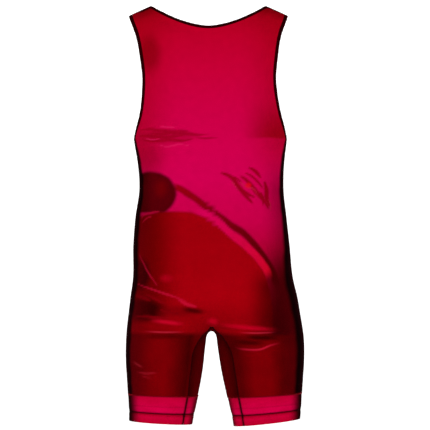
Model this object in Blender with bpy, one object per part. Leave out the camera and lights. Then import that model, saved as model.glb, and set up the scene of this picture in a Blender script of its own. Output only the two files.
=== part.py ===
"""A wrestling singlet in the hollow form it has when worn, with nobody in it.

Metres, +Z up. The wearer's back faces -Y and the wearer's right is +X. The origin is on the
shoulder line, midway between the two shoulder straps. Every level of the garment is named by
its drop, the distance down from that line.
"""

import functools
import math

import bpy
import numpy as np

for old in list(bpy.data.objects):
    bpy.data.objects.remove(old)

# ---------------------------------------------------------------- driving dimensions
CLOTH_WALL = 0.0016
TAPE_WALL = 0.0026
SEAM_GAP = 0.0003
GUSSET_SEAM_GAP = 0.0006  # wider, as the gusset meets the panels at an angle
NECK_TAPE = 0.0055
ARM_TAPE = 0.0070

UNDERARM = 0.2600  # drop of the panels' top corner in the side seam
BAND_TOP = 0.7600  # drop of the seam between the leg and its hem band
HEM = 0.8140

CROTCH = 0.6340  # drop of the lowest cloth between the legs
CROTCH_ARCH_RISE = 0.0160
CROTCH_ARCH_FROM = 0.74  # share of the way up the thigh at which the gusset starts to arch over
GUSSET_LEVEL = 0.7000  # below this drop the gusset runs level round the thigh
GUSSET_POINT = {"back": 0.6230, "front": 0.6130}  # drop of its point in each panel

NECK_HALF = 0.1180  # half the width between the straps, at the shoulder seam
NECK_DROP = {"back": 0.0370, "front": 0.1700}
NECK_ACROSS_POWER = {"back": 1.75, "front": 2.0}
NECK_DOWN_POWER = {"back": 1.0, "front": 1.4}

SHOULDER_HALF = 0.1350  # the middle of a strap, where the shoulder line has no drop
SHOULDER_SLOPE = 0.48
SHOULDER_EASE = 0.0500
SHOULDER_ROLL = 0.0850  # length over which the cloth rolls onto the shoulder
ROLL_POWER = 2.2
SEAT_EASE = 0.0180  # how softly the seat bridges its two halves
EASE_FADES_FROM = 0.0020  # half gaps between the legs over which that ease fades
EASE_FADES_OVER = 0.0100

# ---------------------------------------------------------------- tables of sections
# Each level of the body: half its width, how far its middle is off the centre plane, its
# depth behind and before the side seams, where those lie in Y, and how square it is.
LEVELS = np.array(
    [
        # drop, half, middle, back, front, side, square
        (-0.050, 0.1850, -0.004, 0.040, 0.036, 0.000, 2.4),
        (-0.020, 0.1840, -0.004, 0.054, 0.046, 0.000, 2.4),
        (0.031, 0.1800, -0.004, 0.076, 0.066, 0.000, 2.4),
        (0.093, 0.1720, -0.003, 0.096, 0.090, 0.000, 2.4),
        (0.150, 0.1640, -0.002, 0.105, 0.106, 0.000, 2.4),
        (0.212, 0.1570, 0.000, 0.104, 0.116, 0.002, 2.4),
        (0.260, 0.1515, 0.000, 0.097, 0.117, 0.004, 2.4),
        (0.300, 0.1460, 0.001, 0.088, 0.114, 0.007, 2.35),
        (0.350, 0.1435, 0.002, 0.080, 0.109, 0.009, 2.3),
        (0.410, 0.1505, 0.001, 0.088, 0.106, 0.008, 2.3),
        (0.465, 0.1555, 0.002, 0.107, 0.103, 0.004, 2.3),
        (0.529, 0.1590, 0.005, 0.121, 0.098, 0.000, 2.3),
        (0.568, 0.1660, 0.007, 0.121, 0.095, -0.001, 2.3),
        (0.608, 0.1715, 0.008, 0.112, 0.092, -0.003, 2.25),
        (0.648, 0.1755, 0.009, 0.100, 0.089, -0.004, 2.2),
        (0.695, 0.1760, 0.009, 0.092, 0.086, -0.004, 2.15),
        (0.727, 0.1740, 0.009, 0.088, 0.083, -0.003, 2.1),
        (0.760, 0.1720, 0.009, 0.083, 0.080, -0.002, 2.1),
        (0.790, 0.1705, 0.009, 0.079, 0.078, -0.001, 2.1),
        (0.820, 0.1680, 0.008, 0.076, 0.077, 0.000, 2.1),
    ],
    dtype=[(name, float) for name in ("drop", "half", "middle", "back", "front", "side", "square")],
)

# The legs: how far they have parted (0 one body, 1 two), half the gap between them, where
# its middle lies, and how far from that the gusset seam runs behind and before.
LEGS = np.array(
    [
        # drop, parted, gap, middle, seam_back, seam_front
        (0.460, 0.00, 0.0000, 0.000, 0.000, 0.000),
        (0.500, 0.12, 0.0000, 0.000, 0.000, 0.000),
        (0.550, 0.46, 0.0000, 0.001, 0.000, 0.000),
        (0.600, 0.86, 0.0020, 0.001, 0.000, 0.000),
        (0.612, 0.91, 0.0042, 0.001, 0.000, 0.004),
        (0.625, 0.96, 0.0065, 0.002, 0.003, 0.016),
        (0.644, 1.00, 0.0095, 0.002, 0.021, 0.029),
        (0.667, 1.00, 0.0125, 0.002, 0.035, 0.038),
        (0.707, 1.00, 0.0180, 0.003, 0.043, 0.045),
        (0.760, 1.00, 0.0290, 0.004, 0.050, 0.051),
        (0.790, 1.00, 0.0360, 0.004, 0.053, 0.054),
        (0.820, 1.00, 0.0430, 0.004, 0.056, 0.057),
    ],
    dtype=[(name, float) for name in ("drop", "parted", "gap", "middle", "seam_back", "seam_front")],
)

# How far round the section each panel's armhole edge lies, as a share of the half width.
ARMHOLES = np.array(
    [
        # drop, back, front
        (-0.020, 0.860, 0.860),
        (0.012, 0.832, 0.830),
        (0.046, 0.782, 0.765),
        (0.093, 0.762, 0.722),
        (0.133, 0.766, 0.716),
        (0.172, 0.805, 0.755),
        (0.212, 0.874, 0.850),
        (0.240, 0.950, 0.940),
        (0.260, 1.000, 1.000),
    ],
    dtype=[(name, float) for name in ("drop", "back", "front")],
)

# Each leg is turned out a little, so its hem rises outwards.
HEM_RISE = {"left": 0.055, "right": 0.115}
HEM_RISE_FROM = 0.660
HEM_RISE_POWER = 1.5

# ---------------------------------------------------------------- mesh counts
NECK_COLUMNS = 9
NECK_CROWDING = 1.25  # crowds the columns towards the strap
STRAP_COLUMNS = 4
YOKE_ROWS = 14
YOKE_CROWDING = 2.4  # crowds the rows towards the shoulder and the underarm
ARMHOLE_PULL = 0.75  # how far the strap's inner column bends in with the armhole
PULL_ONSET = 0.5
BODY_ROWS = 11
LEG_ROWS = 9
LEG_CROWDING = 1.5  # crowds the rows towards the gusset's point
GUSSET_COLUMNS = 4  # from its middle to each of its seams
BAND_ROWS = 2
BAND_COLUMNS = 15  # on each of the back and the front of a leg
SETTLING_STEPS = 12
TINY = 1e-4
ROLLED = 0.3  # the share of the roll from which its own steps give the normals

FACES = {"back": -1.0, "front": 1.0}
SIDES = {"left": -1.0, "right": 1.0}

COLOURS = {
    "crimson": (0.46, 0.006, 0.045, 1.0),
    "dark_red": (0.16, 0.004, 0.012, 1.0),
    "bright_crimson": (0.58, 0.006, 0.060, 1.0),
    "near_black": (0.020, 0.006, 0.008, 1.0),
}
KNIT_ROUGHNESS = 0.55


# ---------------------------------------------------------------- the form of the body
def at(table, column, drop):
    """A column of a table at any drop, on the smooth curve through its rows."""
    rows = table["drop"]
    values = table[column]
    slopes = np.gradient(values, rows)
    drop = np.clip(drop, rows[0], rows[-1])
    i = np.clip(np.searchsorted(rows, drop) - 1, 0, len(rows) - 2)
    step = rows[i + 1] - rows[i]
    t = (drop - rows[i]) / step
    rise = values[i + 1] - values[i]
    start = slopes[i] * step - rise
    end = rise - slopes[i + 1] * step
    return values[i] + rise * t + t * (1 - t) * (start * (1 - t) + end * t)


def power(value, exponent):
    """A power that keeps the sign of its base."""
    return np.sign(value) * np.abs(value) ** exponent


def centre_line(drop):
    """X of the plane between the garment's two halves."""
    parted = at(LEGS, "parted", drop)
    return at(LEVELS, "middle", drop) * (1 - parted) + at(LEGS, "middle", drop) * parted


def lobe(drop):
    """Half width of one half's oval, and its centre's distance from the centre line.

    On the body the oval is the whole section; it narrows into one leg's section.
    """
    parted = at(LEGS, "parted", drop)
    outer = at(LEVELS, "half", drop)
    half = outer * (1 - parted) + (outer - at(LEGS, "gap", drop)) / 2 * parted
    return half, outer - half


def seat_ease(drop):
    """The seat's ease fades out as the legs part."""
    gap = at(LEGS, "gap", drop)
    return SEAT_EASE * (1 - np.clip((gap - EASE_FADES_FROM) / EASE_FADES_OVER, 0, 1))


def shoulder_drop(off):
    """Drop of the shoulder line at a distance off the centre line."""
    eased = np.hypot(off, SHOULDER_EASE) - math.hypot(SHOULDER_HALF, SHOULDER_EASE)
    return SHOULDER_SLOPE * eased


def off_centre(angle, drop):
    """How far off the centre line the oval's point at this angle lies."""
    half, centre = lobe(drop)
    reach = centre + half * power(np.sin(angle), 2 / at(LEVELS, "square", drop))
    return np.sign(reach) * np.sqrt(np.maximum(reach**2 - seat_ease(drop) ** 2, 0))


def angle_at(off, drop):
    """The angle at which the surface is this far off the centre line."""
    half, centre = lobe(drop)
    share = np.clip((np.hypot(off, seat_ease(drop)) - centre) / half, -1, 1)
    return np.arcsin(power(share, at(LEVELS, "square", drop) / 2))


def shoulder_over(angle, drop):
    """How far the cloth has rolled over onto the shoulder: 0 below it, 1 on its line."""
    down = drop - shoulder_drop(off_centre(angle, drop))
    return np.clip(1 - down / SHOULDER_ROLL, 0, 1)


def rolled_form(face, side, angle, drop, roll):
    """Points of the outer surface, with a share of the full depth."""
    sign = SIDES[side]
    off = off_centre(angle, drop)
    middle = centre_line(drop)
    wider = 1 + sign * (at(LEVELS, "middle", drop) - middle) / at(LEVELS, "half", drop)
    depth = at(LEVELS, face, drop) * power(np.cos(angle), 2 / at(LEVELS, "square", drop)) * roll
    turned = np.clip((drop - HEM_RISE_FROM) / (HEM - HEM_RISE_FROM), 0, None) ** HEM_RISE_POWER
    x = middle + sign * off * wider
    y = at(LEVELS, "side", drop) + FACES[face] * (depth + SEAM_GAP / 2)
    z = -drop + HEM_RISE[side] * turned * (off - lobe(drop)[1])
    return np.stack([x, y, z], axis=-1)


def form(face, side, angle, drop):
    """Points of the cloth's outer surface.

    The angle goes round one half's oval: 0 is straight behind or before its centre, a
    quarter turn is the side seam, and minus a quarter turn is the inside of the leg.
    """
    angle, drop = np.broadcast_arrays(np.asarray(angle, float), np.asarray(drop, float))
    over = shoulder_over(angle, drop)
    roll = (1 - over**ROLL_POWER) ** (1 / ROLL_POWER)
    return rolled_form(face, side, angle, drop, roll)


def form_normal(face, side, angle, drop):
    """Outward unit normals of that surface.

    Below the shoulder they come from steps round and down it; on the shoulder's roll from
    steps along the shoulder line and round the roll.
    """
    angle, drop = np.broadcast_arrays(np.asarray(angle, float), np.asarray(drop, float))
    over = shoulder_over(angle, drop)
    line = shoulder_drop(off_centre(angle, drop))
    turn = np.arcsin(over ** (ROLL_POWER / 2))

    def on_roll(step_round, step_turn):
        share = power(np.sin(turn + step_turn), 2 / ROLL_POWER)
        moved = shoulder_drop(off_centre(angle + step_round, drop)) - line
        level = drop + moved - SHOULDER_ROLL * (share - over)
        roll = power(np.cos(turn + step_turn), 2 / ROLL_POWER)
        return rolled_form(face, side, angle + step_round, level, roll)

    round_it = form(face, side, angle + TINY, drop) - form(face, side, angle - TINY, drop)
    down_it = form(face, side, angle, drop + TINY) - form(face, side, angle, drop - TINY)
    round_roll = on_roll(TINY, 0) - on_roll(-TINY, 0)
    down_roll = on_roll(0, -TINY) - on_roll(0, TINY)
    rolled = (over > ROLLED)[..., None]
    normal = np.where(rolled, np.cross(round_roll, down_roll), np.cross(round_it, down_it))
    normal = normal * FACES[face] * SIDES[side]
    return normal / np.linalg.norm(normal, axis=-1, keepdims=True)


def inner_angle(face, drop):
    """Where a panel's half begins: at the centre line, and lower down at the gusset seam."""
    return angle_at(at(LEGS, "seam_" + face, drop), drop)


def outer_angle(face, drop):
    """Where a panel's half ends: at the armhole, and lower down at the side seam."""
    share = np.clip(at(ARMHOLES, face, drop), 0, 1)
    return np.arcsin(share ** (at(LEVELS, "square", drop) / 2))


# ---------------------------------------------------------------- panels
def armhole_off(face, drop):
    """How far off the centre line the panel's armhole edge lies."""
    return off_centre(outer_angle(face, drop), drop)


def top_edge(face):
    """Distances off the centre line, and drops, of the neckline and then the shoulder seam."""
    corner = shoulder_drop(NECK_HALF)
    turn = (1 - np.linspace(1, 0, NECK_COLUMNS + 1) ** NECK_CROWDING) * math.pi / 2
    neck_off = NECK_HALF * np.sin(turn) ** (2 / NECK_ACROSS_POWER[face])
    across = np.abs(np.cos(turn)) ** (2 / NECK_DOWN_POWER[face])
    neck_drop = corner + (NECK_DROP[face] - corner) * across
    tip = SHOULDER_HALF
    for _ in range(SETTLING_STEPS):
        tip = armhole_off(face, shoulder_drop(tip))
    strap_off = np.linspace(NECK_HALF, tip, STRAP_COLUMNS + 1)[1:]
    off = np.concatenate([neck_off, strap_off])
    return off, np.concatenate([neck_drop, shoulder_drop(strap_off)])


def gusset_rows(face):
    """Drops of the rows down a leg, from the gusset's point in a panel to the hem band."""
    point = GUSSET_POINT[face]
    down = np.linspace(0, 1, LEG_ROWS + 1) ** LEG_CROWDING
    return point + (BAND_TOP - SEAM_GAP - point) * down


@functools.cache
def half_panel(face):
    """Angles and drops of one half of a panel, as arrays of rows by columns.

    Above the underarm the columns run straight from the top edge, and bend in beside the
    armhole; below it they keep their share of the way round to the side seam.
    """
    off, top = top_edge(face)
    share = np.linspace(0, 1, len(off))
    down = np.sin(np.linspace(0, math.pi / 2, YOKE_ROWS + 1)[:-1, None]) ** YOKE_CROWDING
    yoke = top + (UNDERARM - top) * down
    inner = inner_angle(face, UNDERARM)
    below = inner + (outer_angle(face, UNDERARM) - inner) * share
    start = angle_at(off, top)
    straight = start + (below - start) * down
    armhole = outer_angle(face, yoke[:, -1:])
    last = straight[:, -1:]
    strap = straight[:, NECK_COLUMNS : NECK_COLUMNS + 1]
    bent = strap + (armhole - last) * ARMHOLE_PULL * down**PULL_ONSET
    inner = inner_angle(face, yoke)
    middle = straight[:, :1]
    neck_part = inner + (bent - inner) * (straight - middle) / (strap - middle)
    strap_part = bent + (straight - strap) * (armhole - bent) / (last - strap)
    yoke_angles = np.where(np.arange(len(off)) < NECK_COLUMNS, neck_part, strap_part)
    body = np.linspace(UNDERARM, GUSSET_POINT[face], BODY_ROWS + 1)[:-1]
    level = np.repeat(np.concatenate([body, gusset_rows(face)])[:, None], len(off), axis=1)
    inner = inner_angle(face, level)
    level_angles = inner + (outer_angle(face, level) - inner) * share
    return np.concatenate([yoke_angles, level_angles]), np.concatenate([yoke, level])


def rim(points, quad):
    """A rim quad, of two outer and two inner corners, as two triangles.

    They always meet on the line from its higher outer corner, so that the edges of two
    pieces that meet in a seam are cut alike and stay apart.
    """
    b, a, a_in, b_in = quad
    if points[a][2] > points[b][2]:
        return [(b, a, b_in), (a, a_in, b_in)]
    return [(b, a, a_in), (b, a_in, b_in)]


def shell(name, points, normals, faces, wall, colour):
    """One closed solid: the faces, the same faces moved in by the wall, and its edges."""
    count = len(points)
    inner = points - normals * wall
    loops = [tuple(face) for face in faces]
    directed = {pair for face in loops for pair in zip(face, face[1:] + face[:1])}
    backs = [tuple(corner + count for corner in reversed(face)) for face in loops]
    rims = []
    for a, b in sorted(directed):
        if (b, a) not in directed:
            rims.extend(rim(points, (b, a, a + count, b + count)))
    mesh = bpy.data.meshes.new(name)
    mesh.from_pydata(np.concatenate([points, inner]).tolist(), [], loops + backs + rims)
    mesh.shade_smooth()
    mesh.materials.append(material(colour))
    piece = bpy.data.objects.new(name, mesh)
    bpy.context.scene.collection.objects.link(piece)
    return piece


def material(colour):
    """A plain knit in one of the named colours."""
    made = bpy.data.materials.new(colour)
    made.use_nodes = True
    surface = made.node_tree.nodes["Principled BSDF"]
    surface.inputs["Base Color"].default_value = COLOURS[colour]
    surface.inputs["Roughness"].default_value = KNIT_ROUGHNESS
    surface.inputs["Metallic"].default_value = 0.0
    return made


def grid_faces(numbers, flipped):
    """Quads over an array of point numbers, rows by columns."""
    faces = []
    for upper, lower in zip(numbers[:-1], numbers[1:]):
        for a, b, c, d in zip(upper[:-1], upper[1:], lower[1:], lower[:-1]):
            faces.append((a, b, c, d) if flipped else (d, c, b, a))
    return faces


def body_panel(face):
    """A back or a front: two halves that are one cloth down to the gusset's point."""
    points = []
    normals = []
    faces = []
    first = None
    joined_rows = YOKE_ROWS + BODY_ROWS + 1
    for side in SIDES:
        angles, drops = half_panel(face)
        numbers = np.arange(angles.size).reshape(angles.shape) + len(points)
        points.extend(form(face, side, angles, drops).reshape(-1, 3))
        normals.extend(form_normal(face, side, angles, drops).reshape(-1, 3))
        if first is None:
            first = numbers.copy()
        else:
            numbers[:joined_rows, 0] = first[:joined_rows, 0]
        faces.extend(grid_faces(numbers, FACES[face] * SIDES[side] > 0))
    used = sorted({corner for quad in faces for corner in quad})
    renumber = {old: new for new, old in enumerate(used)}
    faces = [tuple(renumber[corner] for corner in quad) for quad in faces]
    points = np.array(points)[used]
    normals = np.array(normals)[used]
    return shell("body_" + face, points, normals, faces, CLOTH_WALL, "crimson")


# ---------------------------------------------------------------- gusset
def gusset_middle(side):
    """The gusset's middle line on one leg, from the crotch down the inside of the thigh."""
    drops = gusset_rows("back")
    share = np.clip((GUSSET_LEVEL - drops) / (GUSSET_LEVEL - drops[0]), 0, 1)
    spring = CROTCH + CROTCH_ARCH_RISE
    arched = np.clip((share - CROTCH_ARCH_FROM) / (1 - CROTCH_ARCH_FROM), 0, 1)
    turn = arched * math.pi / 2
    down = GUSSET_LEVEL - (GUSSET_LEVEL - spring) * np.minimum(share / CROTCH_ARCH_FROM, 1)
    down = np.where(share > 0, down, drops)
    off = at(LEGS, "gap", down) * np.cos(turn)
    down = down - CROTCH_ARCH_RISE * np.sin(turn)
    x = centre_line(down) + SIDES[side] * off
    level = form("back", side, -math.pi / 2, down)
    return np.stack([x, at(LEVELS, "side", down), level[:, 2]], axis=-1)


def gusset_half_row(seam, middle, turn, exponent, share):
    """Points from the middle line, share 0, to the seam, share 1, round the thigh."""
    along = np.sin(turn * share) ** exponent / np.sin(turn) ** exponent
    inward = (1 - np.cos(turn * share) ** exponent) / (1 - np.cos(turn) ** exponent)
    step = seam - middle
    return middle + step * np.array([0, 1, 0]) * along + step * np.array([1, 0, 1]) * inward


def gusset():
    """The inside of both thighs in one strip, which passes under the body at the crotch."""
    rows = []
    row_normals = []
    for side in SIDES:
        middle = gusset_middle(side)
        strip = []
        strip_normals = []
        for k in range(LEG_ROWS, -1, -1):
            row = []
            edge_normals = []
            for face in FACES:
                drop = gusset_rows(face)[k]
                angle = inner_angle(face, drop)
                seam = form(face, side, angle, drop)
                edge_normals.append(form_normal(face, side, angle, drop))
                turn = angle + math.pi / 2
                exponent = 2 / at(LEVELS, "square", drop)
                width = np.linalg.norm(seam - middle[k])
                shares = np.linspace(0, 1 - GUSSET_SEAM_GAP / width, GUSSET_COLUMNS + 1)
                half = [gusset_half_row(seam, middle[k], turn, exponent, s) for s in shares]
                row = half[::-1] if face == "back" else row + half[1:]
            strip.append(row)
            strip_normals.append(edge_normals)
        if side == "left":
            rows = strip
            row_normals = strip_normals
        else:
            rows = rows + strip[-2::-1]
            row_normals = row_normals + strip_normals[-2::-1]
    points = np.array(rows)
    along = np.gradient(points, axis=0)
    across = np.gradient(points, axis=1)
    normals = np.cross(across, along)
    normals /= np.linalg.norm(normals, axis=-1, keepdims=True)
    ends = np.array(row_normals)
    normals[:, 0] = ends[:, 0]
    normals[:, -1] = ends[:, 1]
    numbers = np.arange(points.shape[0] * points.shape[1]).reshape(points.shape[:2])
    faces = grid_faces(numbers, True)
    return shell(
        "gusset", points.reshape(-1, 3), normals.reshape(-1, 3), faces, CLOTH_WALL, "dark_red"
    )


# ---------------------------------------------------------------- hem bands
def hem_band(side):
    """A strip round the leg's end, closed in line with the gusset's back seam."""
    seam = inner_angle("back", BAND_TOP)
    _, centre = lobe(BAND_TOP)
    gap_turn = SEAM_GAP / centre
    quarter = math.pi / 2
    inside = round(BAND_COLUMNS * (seam + quarter) / math.pi)
    stretches = [
        ("back", np.linspace(seam - gap_turn, -quarter, inside + 1)),
        ("front", np.linspace(-quarter, quarter, BAND_COLUMNS + 1)),
        ("back", np.linspace(quarter, seam + gap_turn, BAND_COLUMNS - inside + 1)),
    ]
    drops = np.linspace(BAND_TOP, HEM, BAND_ROWS + 1)
    points = []
    normals = []
    for face, angles in stretches:
        block = form(face, side, angles[None, :], drops[:, None])
        block_normals = form_normal(face, side, angles[None, :], drops[:, None])
        points.append(block)
        normals.append(block_normals)
    points = np.concatenate(points, axis=1)
    normals = np.concatenate(normals, axis=1)
    numbers = np.arange(points.shape[0] * points.shape[1]).reshape(points.shape[:2])
    faces = grid_faces(numbers, SIDES[side] > 0)
    return shell(
        "hem_band_" + side,
        points.reshape(-1, 3),
        normals.reshape(-1, 3),
        faces,
        CLOTH_WALL,
        "bright_crimson",
    )


# ---------------------------------------------------------------- bindings
def tape(name, edge, normals, outward, width):
    """A closed ring of tape just off a panel's edge, a little thicker than the cloth."""
    onward = np.roll(edge, -1, axis=0) - edge
    onward /= np.linalg.norm(onward, axis=-1, keepdims=True)
    tangent = onward + np.roll(onward, 1, axis=0)
    away = np.cross(tangent, normals) * outward
    away /= np.linalg.norm(away, axis=-1, keepdims=True)
    proud = (TAPE_WALL - CLOTH_WALL) / 2
    near = edge + away * SEAM_GAP
    far = edge + away * (SEAM_GAP + width)
    corners = [
        near + normals * proud,
        far + normals * proud,
        far - normals * (proud + CLOTH_WALL),
        near - normals * (proud + CLOTH_WALL),
    ]
    points = np.stack(corners, axis=1)
    edge_heights = np.repeat(edge, len(corners), axis=0)
    numbers = np.arange(len(edge) * len(corners)).reshape(len(edge), len(corners))
    faces = []
    for here, there in zip(numbers, np.roll(numbers, -1, axis=0)):
        for a, b, c, d in zip(here[:-1], here[1:], there[1:], there[:-1]):
            faces.append((a, b, c, d) if outward > 0 else (d, c, b, a))
        if outward > 0:
            faces.extend(rim(edge_heights, (here[0], there[0], there[-1], here[-1])))
        else:
            faces.extend(rim(edge_heights, (there[0], here[0], here[-1], there[-1])))
    mesh = bpy.data.meshes.new(name)
    mesh.from_pydata(points.reshape(-1, 3).tolist(), [], faces)
    mesh.shade_smooth()
    mesh.materials.append(material("near_black"))
    piece = bpy.data.objects.new(name, mesh)
    bpy.context.scene.collection.objects.link(piece)
    return piece


def edge_points(face, side, rows, columns):
    """Points and normals of the outer surface along one edge of a half panel."""
    angles, drops = half_panel(face)
    points = form(face, side, angles[rows, columns], drops[rows, columns])
    normals = form_normal(face, side, angles[rows, columns], drops[rows, columns])
    return points, normals


def neck_edge():
    """The neckline all round: left strap, back, right strap, front."""
    points = []
    normals = []
    for face, sides in (("back", ("left", "right")), ("front", ("right", "left"))):
        to_middle = edge_points(face, sides[0], 0, slice(NECK_COLUMNS, 0, -1))
        from_middle = edge_points(face, sides[1], 0, slice(0, NECK_COLUMNS))
        points.extend([to_middle[0], from_middle[0]])
        normals.extend([to_middle[1], from_middle[1]])
    return np.concatenate(points), np.concatenate(normals)


def arm_edge(side):
    """One armhole all round: down the back from the shoulder seam, and up the front."""
    down = edge_points("back", side, slice(0, YOKE_ROWS), -1)
    up = edge_points("front", side, slice(YOKE_ROWS, 0, -1), -1)
    return np.concatenate([down[0], up[0]]), np.concatenate([down[1], up[1]])


for panel_face in FACES:
    body_panel(panel_face)
gusset()
for leg_side in SIDES:
    hem_band(leg_side)
tape("neck_binding", *neck_edge(), -1.0, NECK_TAPE)
for arm_side in SIDES:
    tape("armhole_binding_" + arm_side, *arm_edge(arm_side), -SIDES[arm_side], ARM_TAPE)
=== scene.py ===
import functools
import math

import bpy
import numpy as np
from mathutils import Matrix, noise


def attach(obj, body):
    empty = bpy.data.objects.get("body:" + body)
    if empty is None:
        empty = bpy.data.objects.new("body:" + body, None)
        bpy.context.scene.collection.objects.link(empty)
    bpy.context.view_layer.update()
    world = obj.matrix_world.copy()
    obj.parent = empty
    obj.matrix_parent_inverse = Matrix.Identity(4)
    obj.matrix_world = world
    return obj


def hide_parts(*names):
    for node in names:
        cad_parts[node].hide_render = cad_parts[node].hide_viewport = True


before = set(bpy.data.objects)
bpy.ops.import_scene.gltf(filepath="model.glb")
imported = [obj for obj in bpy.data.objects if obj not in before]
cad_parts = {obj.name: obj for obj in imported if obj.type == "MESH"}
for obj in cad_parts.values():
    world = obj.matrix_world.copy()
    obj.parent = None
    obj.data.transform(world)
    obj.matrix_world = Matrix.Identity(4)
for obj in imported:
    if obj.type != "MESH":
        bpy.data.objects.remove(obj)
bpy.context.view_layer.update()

# ---------------------------------------------------------------- the back
# The back is one piece of printed polyester and elastane knit, cut in one with the backs of
# both legs. The figure is dyed into the cloth before it is cut. The cloth is drawn smooth over
# the back and the seat, and breaks into small folds where the seat meets the thighs.
CLOTH_WALL = 0.0016
SEAM_GAP = 0.0003
UNDERARM = 0.2600  # levels are drops below the shoulder line
BAND_TOP = 0.7600
HEM = 0.8140
GUSSET_POINT = {"back": 0.6230, "front": 0.6130}
NECK_HALF = 0.1180
NECK_DROP = {"back": 0.0370, "front": 0.1700}
NECK_ACROSS_POWER = {"back": 1.75, "front": 2.0}
NECK_DOWN_POWER = {"back": 1.0, "front": 1.4}
SHOULDER_HALF = 0.1350
SHOULDER_SLOPE = 0.48
SHOULDER_EASE = 0.0500
SHOULDER_ROLL = 0.0850
ROLL_POWER = 2.2
SEAT_EASE = 0.0180
EASE_FADES_FROM = 0.0020
EASE_FADES_OVER = 0.0100
HEM_RISE = {"left": 0.055, "right": 0.115}
HEM_RISE_FROM = 0.660
HEM_RISE_POWER = 1.5
FACES = {"back": -1.0, "front": 1.0}
SIDES = {"left": -1.0, "right": 1.0}

NECK_COLUMNS = 56
NECK_CROWDING = 1.25
STRAP_COLUMNS = 20
YOKE_ROWS = 96
YOKE_CROWDING = 2.4
ARMHOLE_PULL = 0.75
PULL_ONSET = 0.5
BODY_ROWS = 140
LEG_ROWS = 66
LEG_CROWDING = 1.5
SETTLING_STEPS = 12
TINY = 1e-4
ROLLED = 0.3

LEVELS = np.array(
    [
        # drop, half width, middle, depth back, depth front, side seam's y, squareness
        (-0.050, 0.1850, -0.004, 0.040, 0.036, 0.000, 2.4),
        (-0.020, 0.1840, -0.004, 0.054, 0.046, 0.000, 2.4),
        (0.031, 0.1800, -0.004, 0.076, 0.066, 0.000, 2.4),
        (0.093, 0.1720, -0.003, 0.096, 0.090, 0.000, 2.4),
        (0.150, 0.1640, -0.002, 0.105, 0.106, 0.000, 2.4),
        (0.212, 0.1570, 0.000, 0.104, 0.116, 0.002, 2.4),
        (0.260, 0.1515, 0.000, 0.097, 0.117, 0.004, 2.4),
        (0.300, 0.1460, 0.001, 0.088, 0.114, 0.007, 2.35),
        (0.350, 0.1435, 0.002, 0.080, 0.109, 0.009, 2.3),
        (0.410, 0.1505, 0.001, 0.088, 0.106, 0.008, 2.3),
        (0.465, 0.1555, 0.002, 0.107, 0.103, 0.004, 2.3),
        (0.529, 0.1590, 0.005, 0.121, 0.098, 0.000, 2.3),
        (0.568, 0.1660, 0.007, 0.121, 0.095, -0.001, 2.3),
        (0.608, 0.1715, 0.008, 0.112, 0.092, -0.003, 2.25),
        (0.648, 0.1755, 0.009, 0.100, 0.089, -0.004, 2.2),
        (0.695, 0.1760, 0.009, 0.092, 0.086, -0.004, 2.15),
        (0.727, 0.1740, 0.009, 0.088, 0.083, -0.003, 2.1),
        (0.760, 0.1720, 0.009, 0.083, 0.080, -0.002, 2.1),
        (0.790, 0.1705, 0.009, 0.079, 0.078, -0.001, 2.1),
        (0.820, 0.1680, 0.008, 0.076, 0.077, 0.000, 2.1),
    ],
    dtype=[(word, float) for word in ("drop", "half", "middle", "back", "front", "side", "square")],
)
LEGS = np.array(
    [
        # drop, how far parted, half gap, middle, gusset seam behind, before
        (0.460, 0.00, 0.0000, 0.000, 0.000, 0.000),
        (0.500, 0.12, 0.0000, 0.000, 0.000, 0.000),
        (0.550, 0.46, 0.0000, 0.001, 0.000, 0.000),
        (0.600, 0.86, 0.0020, 0.001, 0.000, 0.000),
        (0.612, 0.91, 0.0042, 0.001, 0.000, 0.004),
        (0.625, 0.96, 0.0065, 0.002, 0.003, 0.016),
        (0.644, 1.00, 0.0095, 0.002, 0.021, 0.029),
        (0.667, 1.00, 0.0125, 0.002, 0.035, 0.038),
        (0.707, 1.00, 0.0180, 0.003, 0.043, 0.045),
        (0.760, 1.00, 0.0290, 0.004, 0.050, 0.051),
        (0.790, 1.00, 0.0360, 0.004, 0.053, 0.054),
        (0.820, 1.00, 0.0430, 0.004, 0.056, 0.057),
    ],
    dtype=[(word, float) for word in ("drop", "parted", "gap", "middle", "seam_back", "seam_front")],
)
ARMHOLES = np.array(
    [
        # drop, the armhole edge's share of the half width behind, before
        (-0.020, 0.860, 0.860),
        (0.012, 0.832, 0.830),
        (0.046, 0.782, 0.765),
        (0.093, 0.762, 0.722),
        (0.133, 0.766, 0.716),
        (0.172, 0.805, 0.755),
        (0.212, 0.874, 0.850),
        (0.240, 0.950, 0.940),
        (0.260, 1.000, 1.000),
    ],
    dtype=[(word, float) for word in ("drop", "back", "front")],
)


def at(table, column, drop):
    """A column of a table at any drop, on the smooth curve through its rows."""
    rows = table["drop"]
    values = table[column]
    slopes = np.gradient(values, rows)
    drop = np.clip(drop, rows[0], rows[-1])
    i = np.clip(np.searchsorted(rows, drop) - 1, 0, len(rows) - 2)
    step = rows[i + 1] - rows[i]
    t = (drop - rows[i]) / step
    rise = values[i + 1] - values[i]
    start = slopes[i] * step - rise
    end = rise - slopes[i + 1] * step
    return values[i] + rise * t + t * (1 - t) * (start * (1 - t) + end * t)


def power(value, exponent):
    return np.sign(value) * np.abs(value) ** exponent


def centre_line(drop):
    """X of the plane between the garment's two halves."""
    parted = at(LEGS, "parted", drop)
    return at(LEVELS, "middle", drop) * (1 - parted) + at(LEGS, "middle", drop) * parted


def lobe(drop):
    """Half width of one half's oval, and its centre's distance from the centre line."""
    parted = at(LEGS, "parted", drop)
    outer = at(LEVELS, "half", drop)
    half = outer * (1 - parted) + (outer - at(LEGS, "gap", drop)) / 2 * parted
    return half, outer - half


def seat_ease(drop):
    gap = at(LEGS, "gap", drop)
    return SEAT_EASE * (1 - np.clip((gap - EASE_FADES_FROM) / EASE_FADES_OVER, 0, 1))


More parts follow.
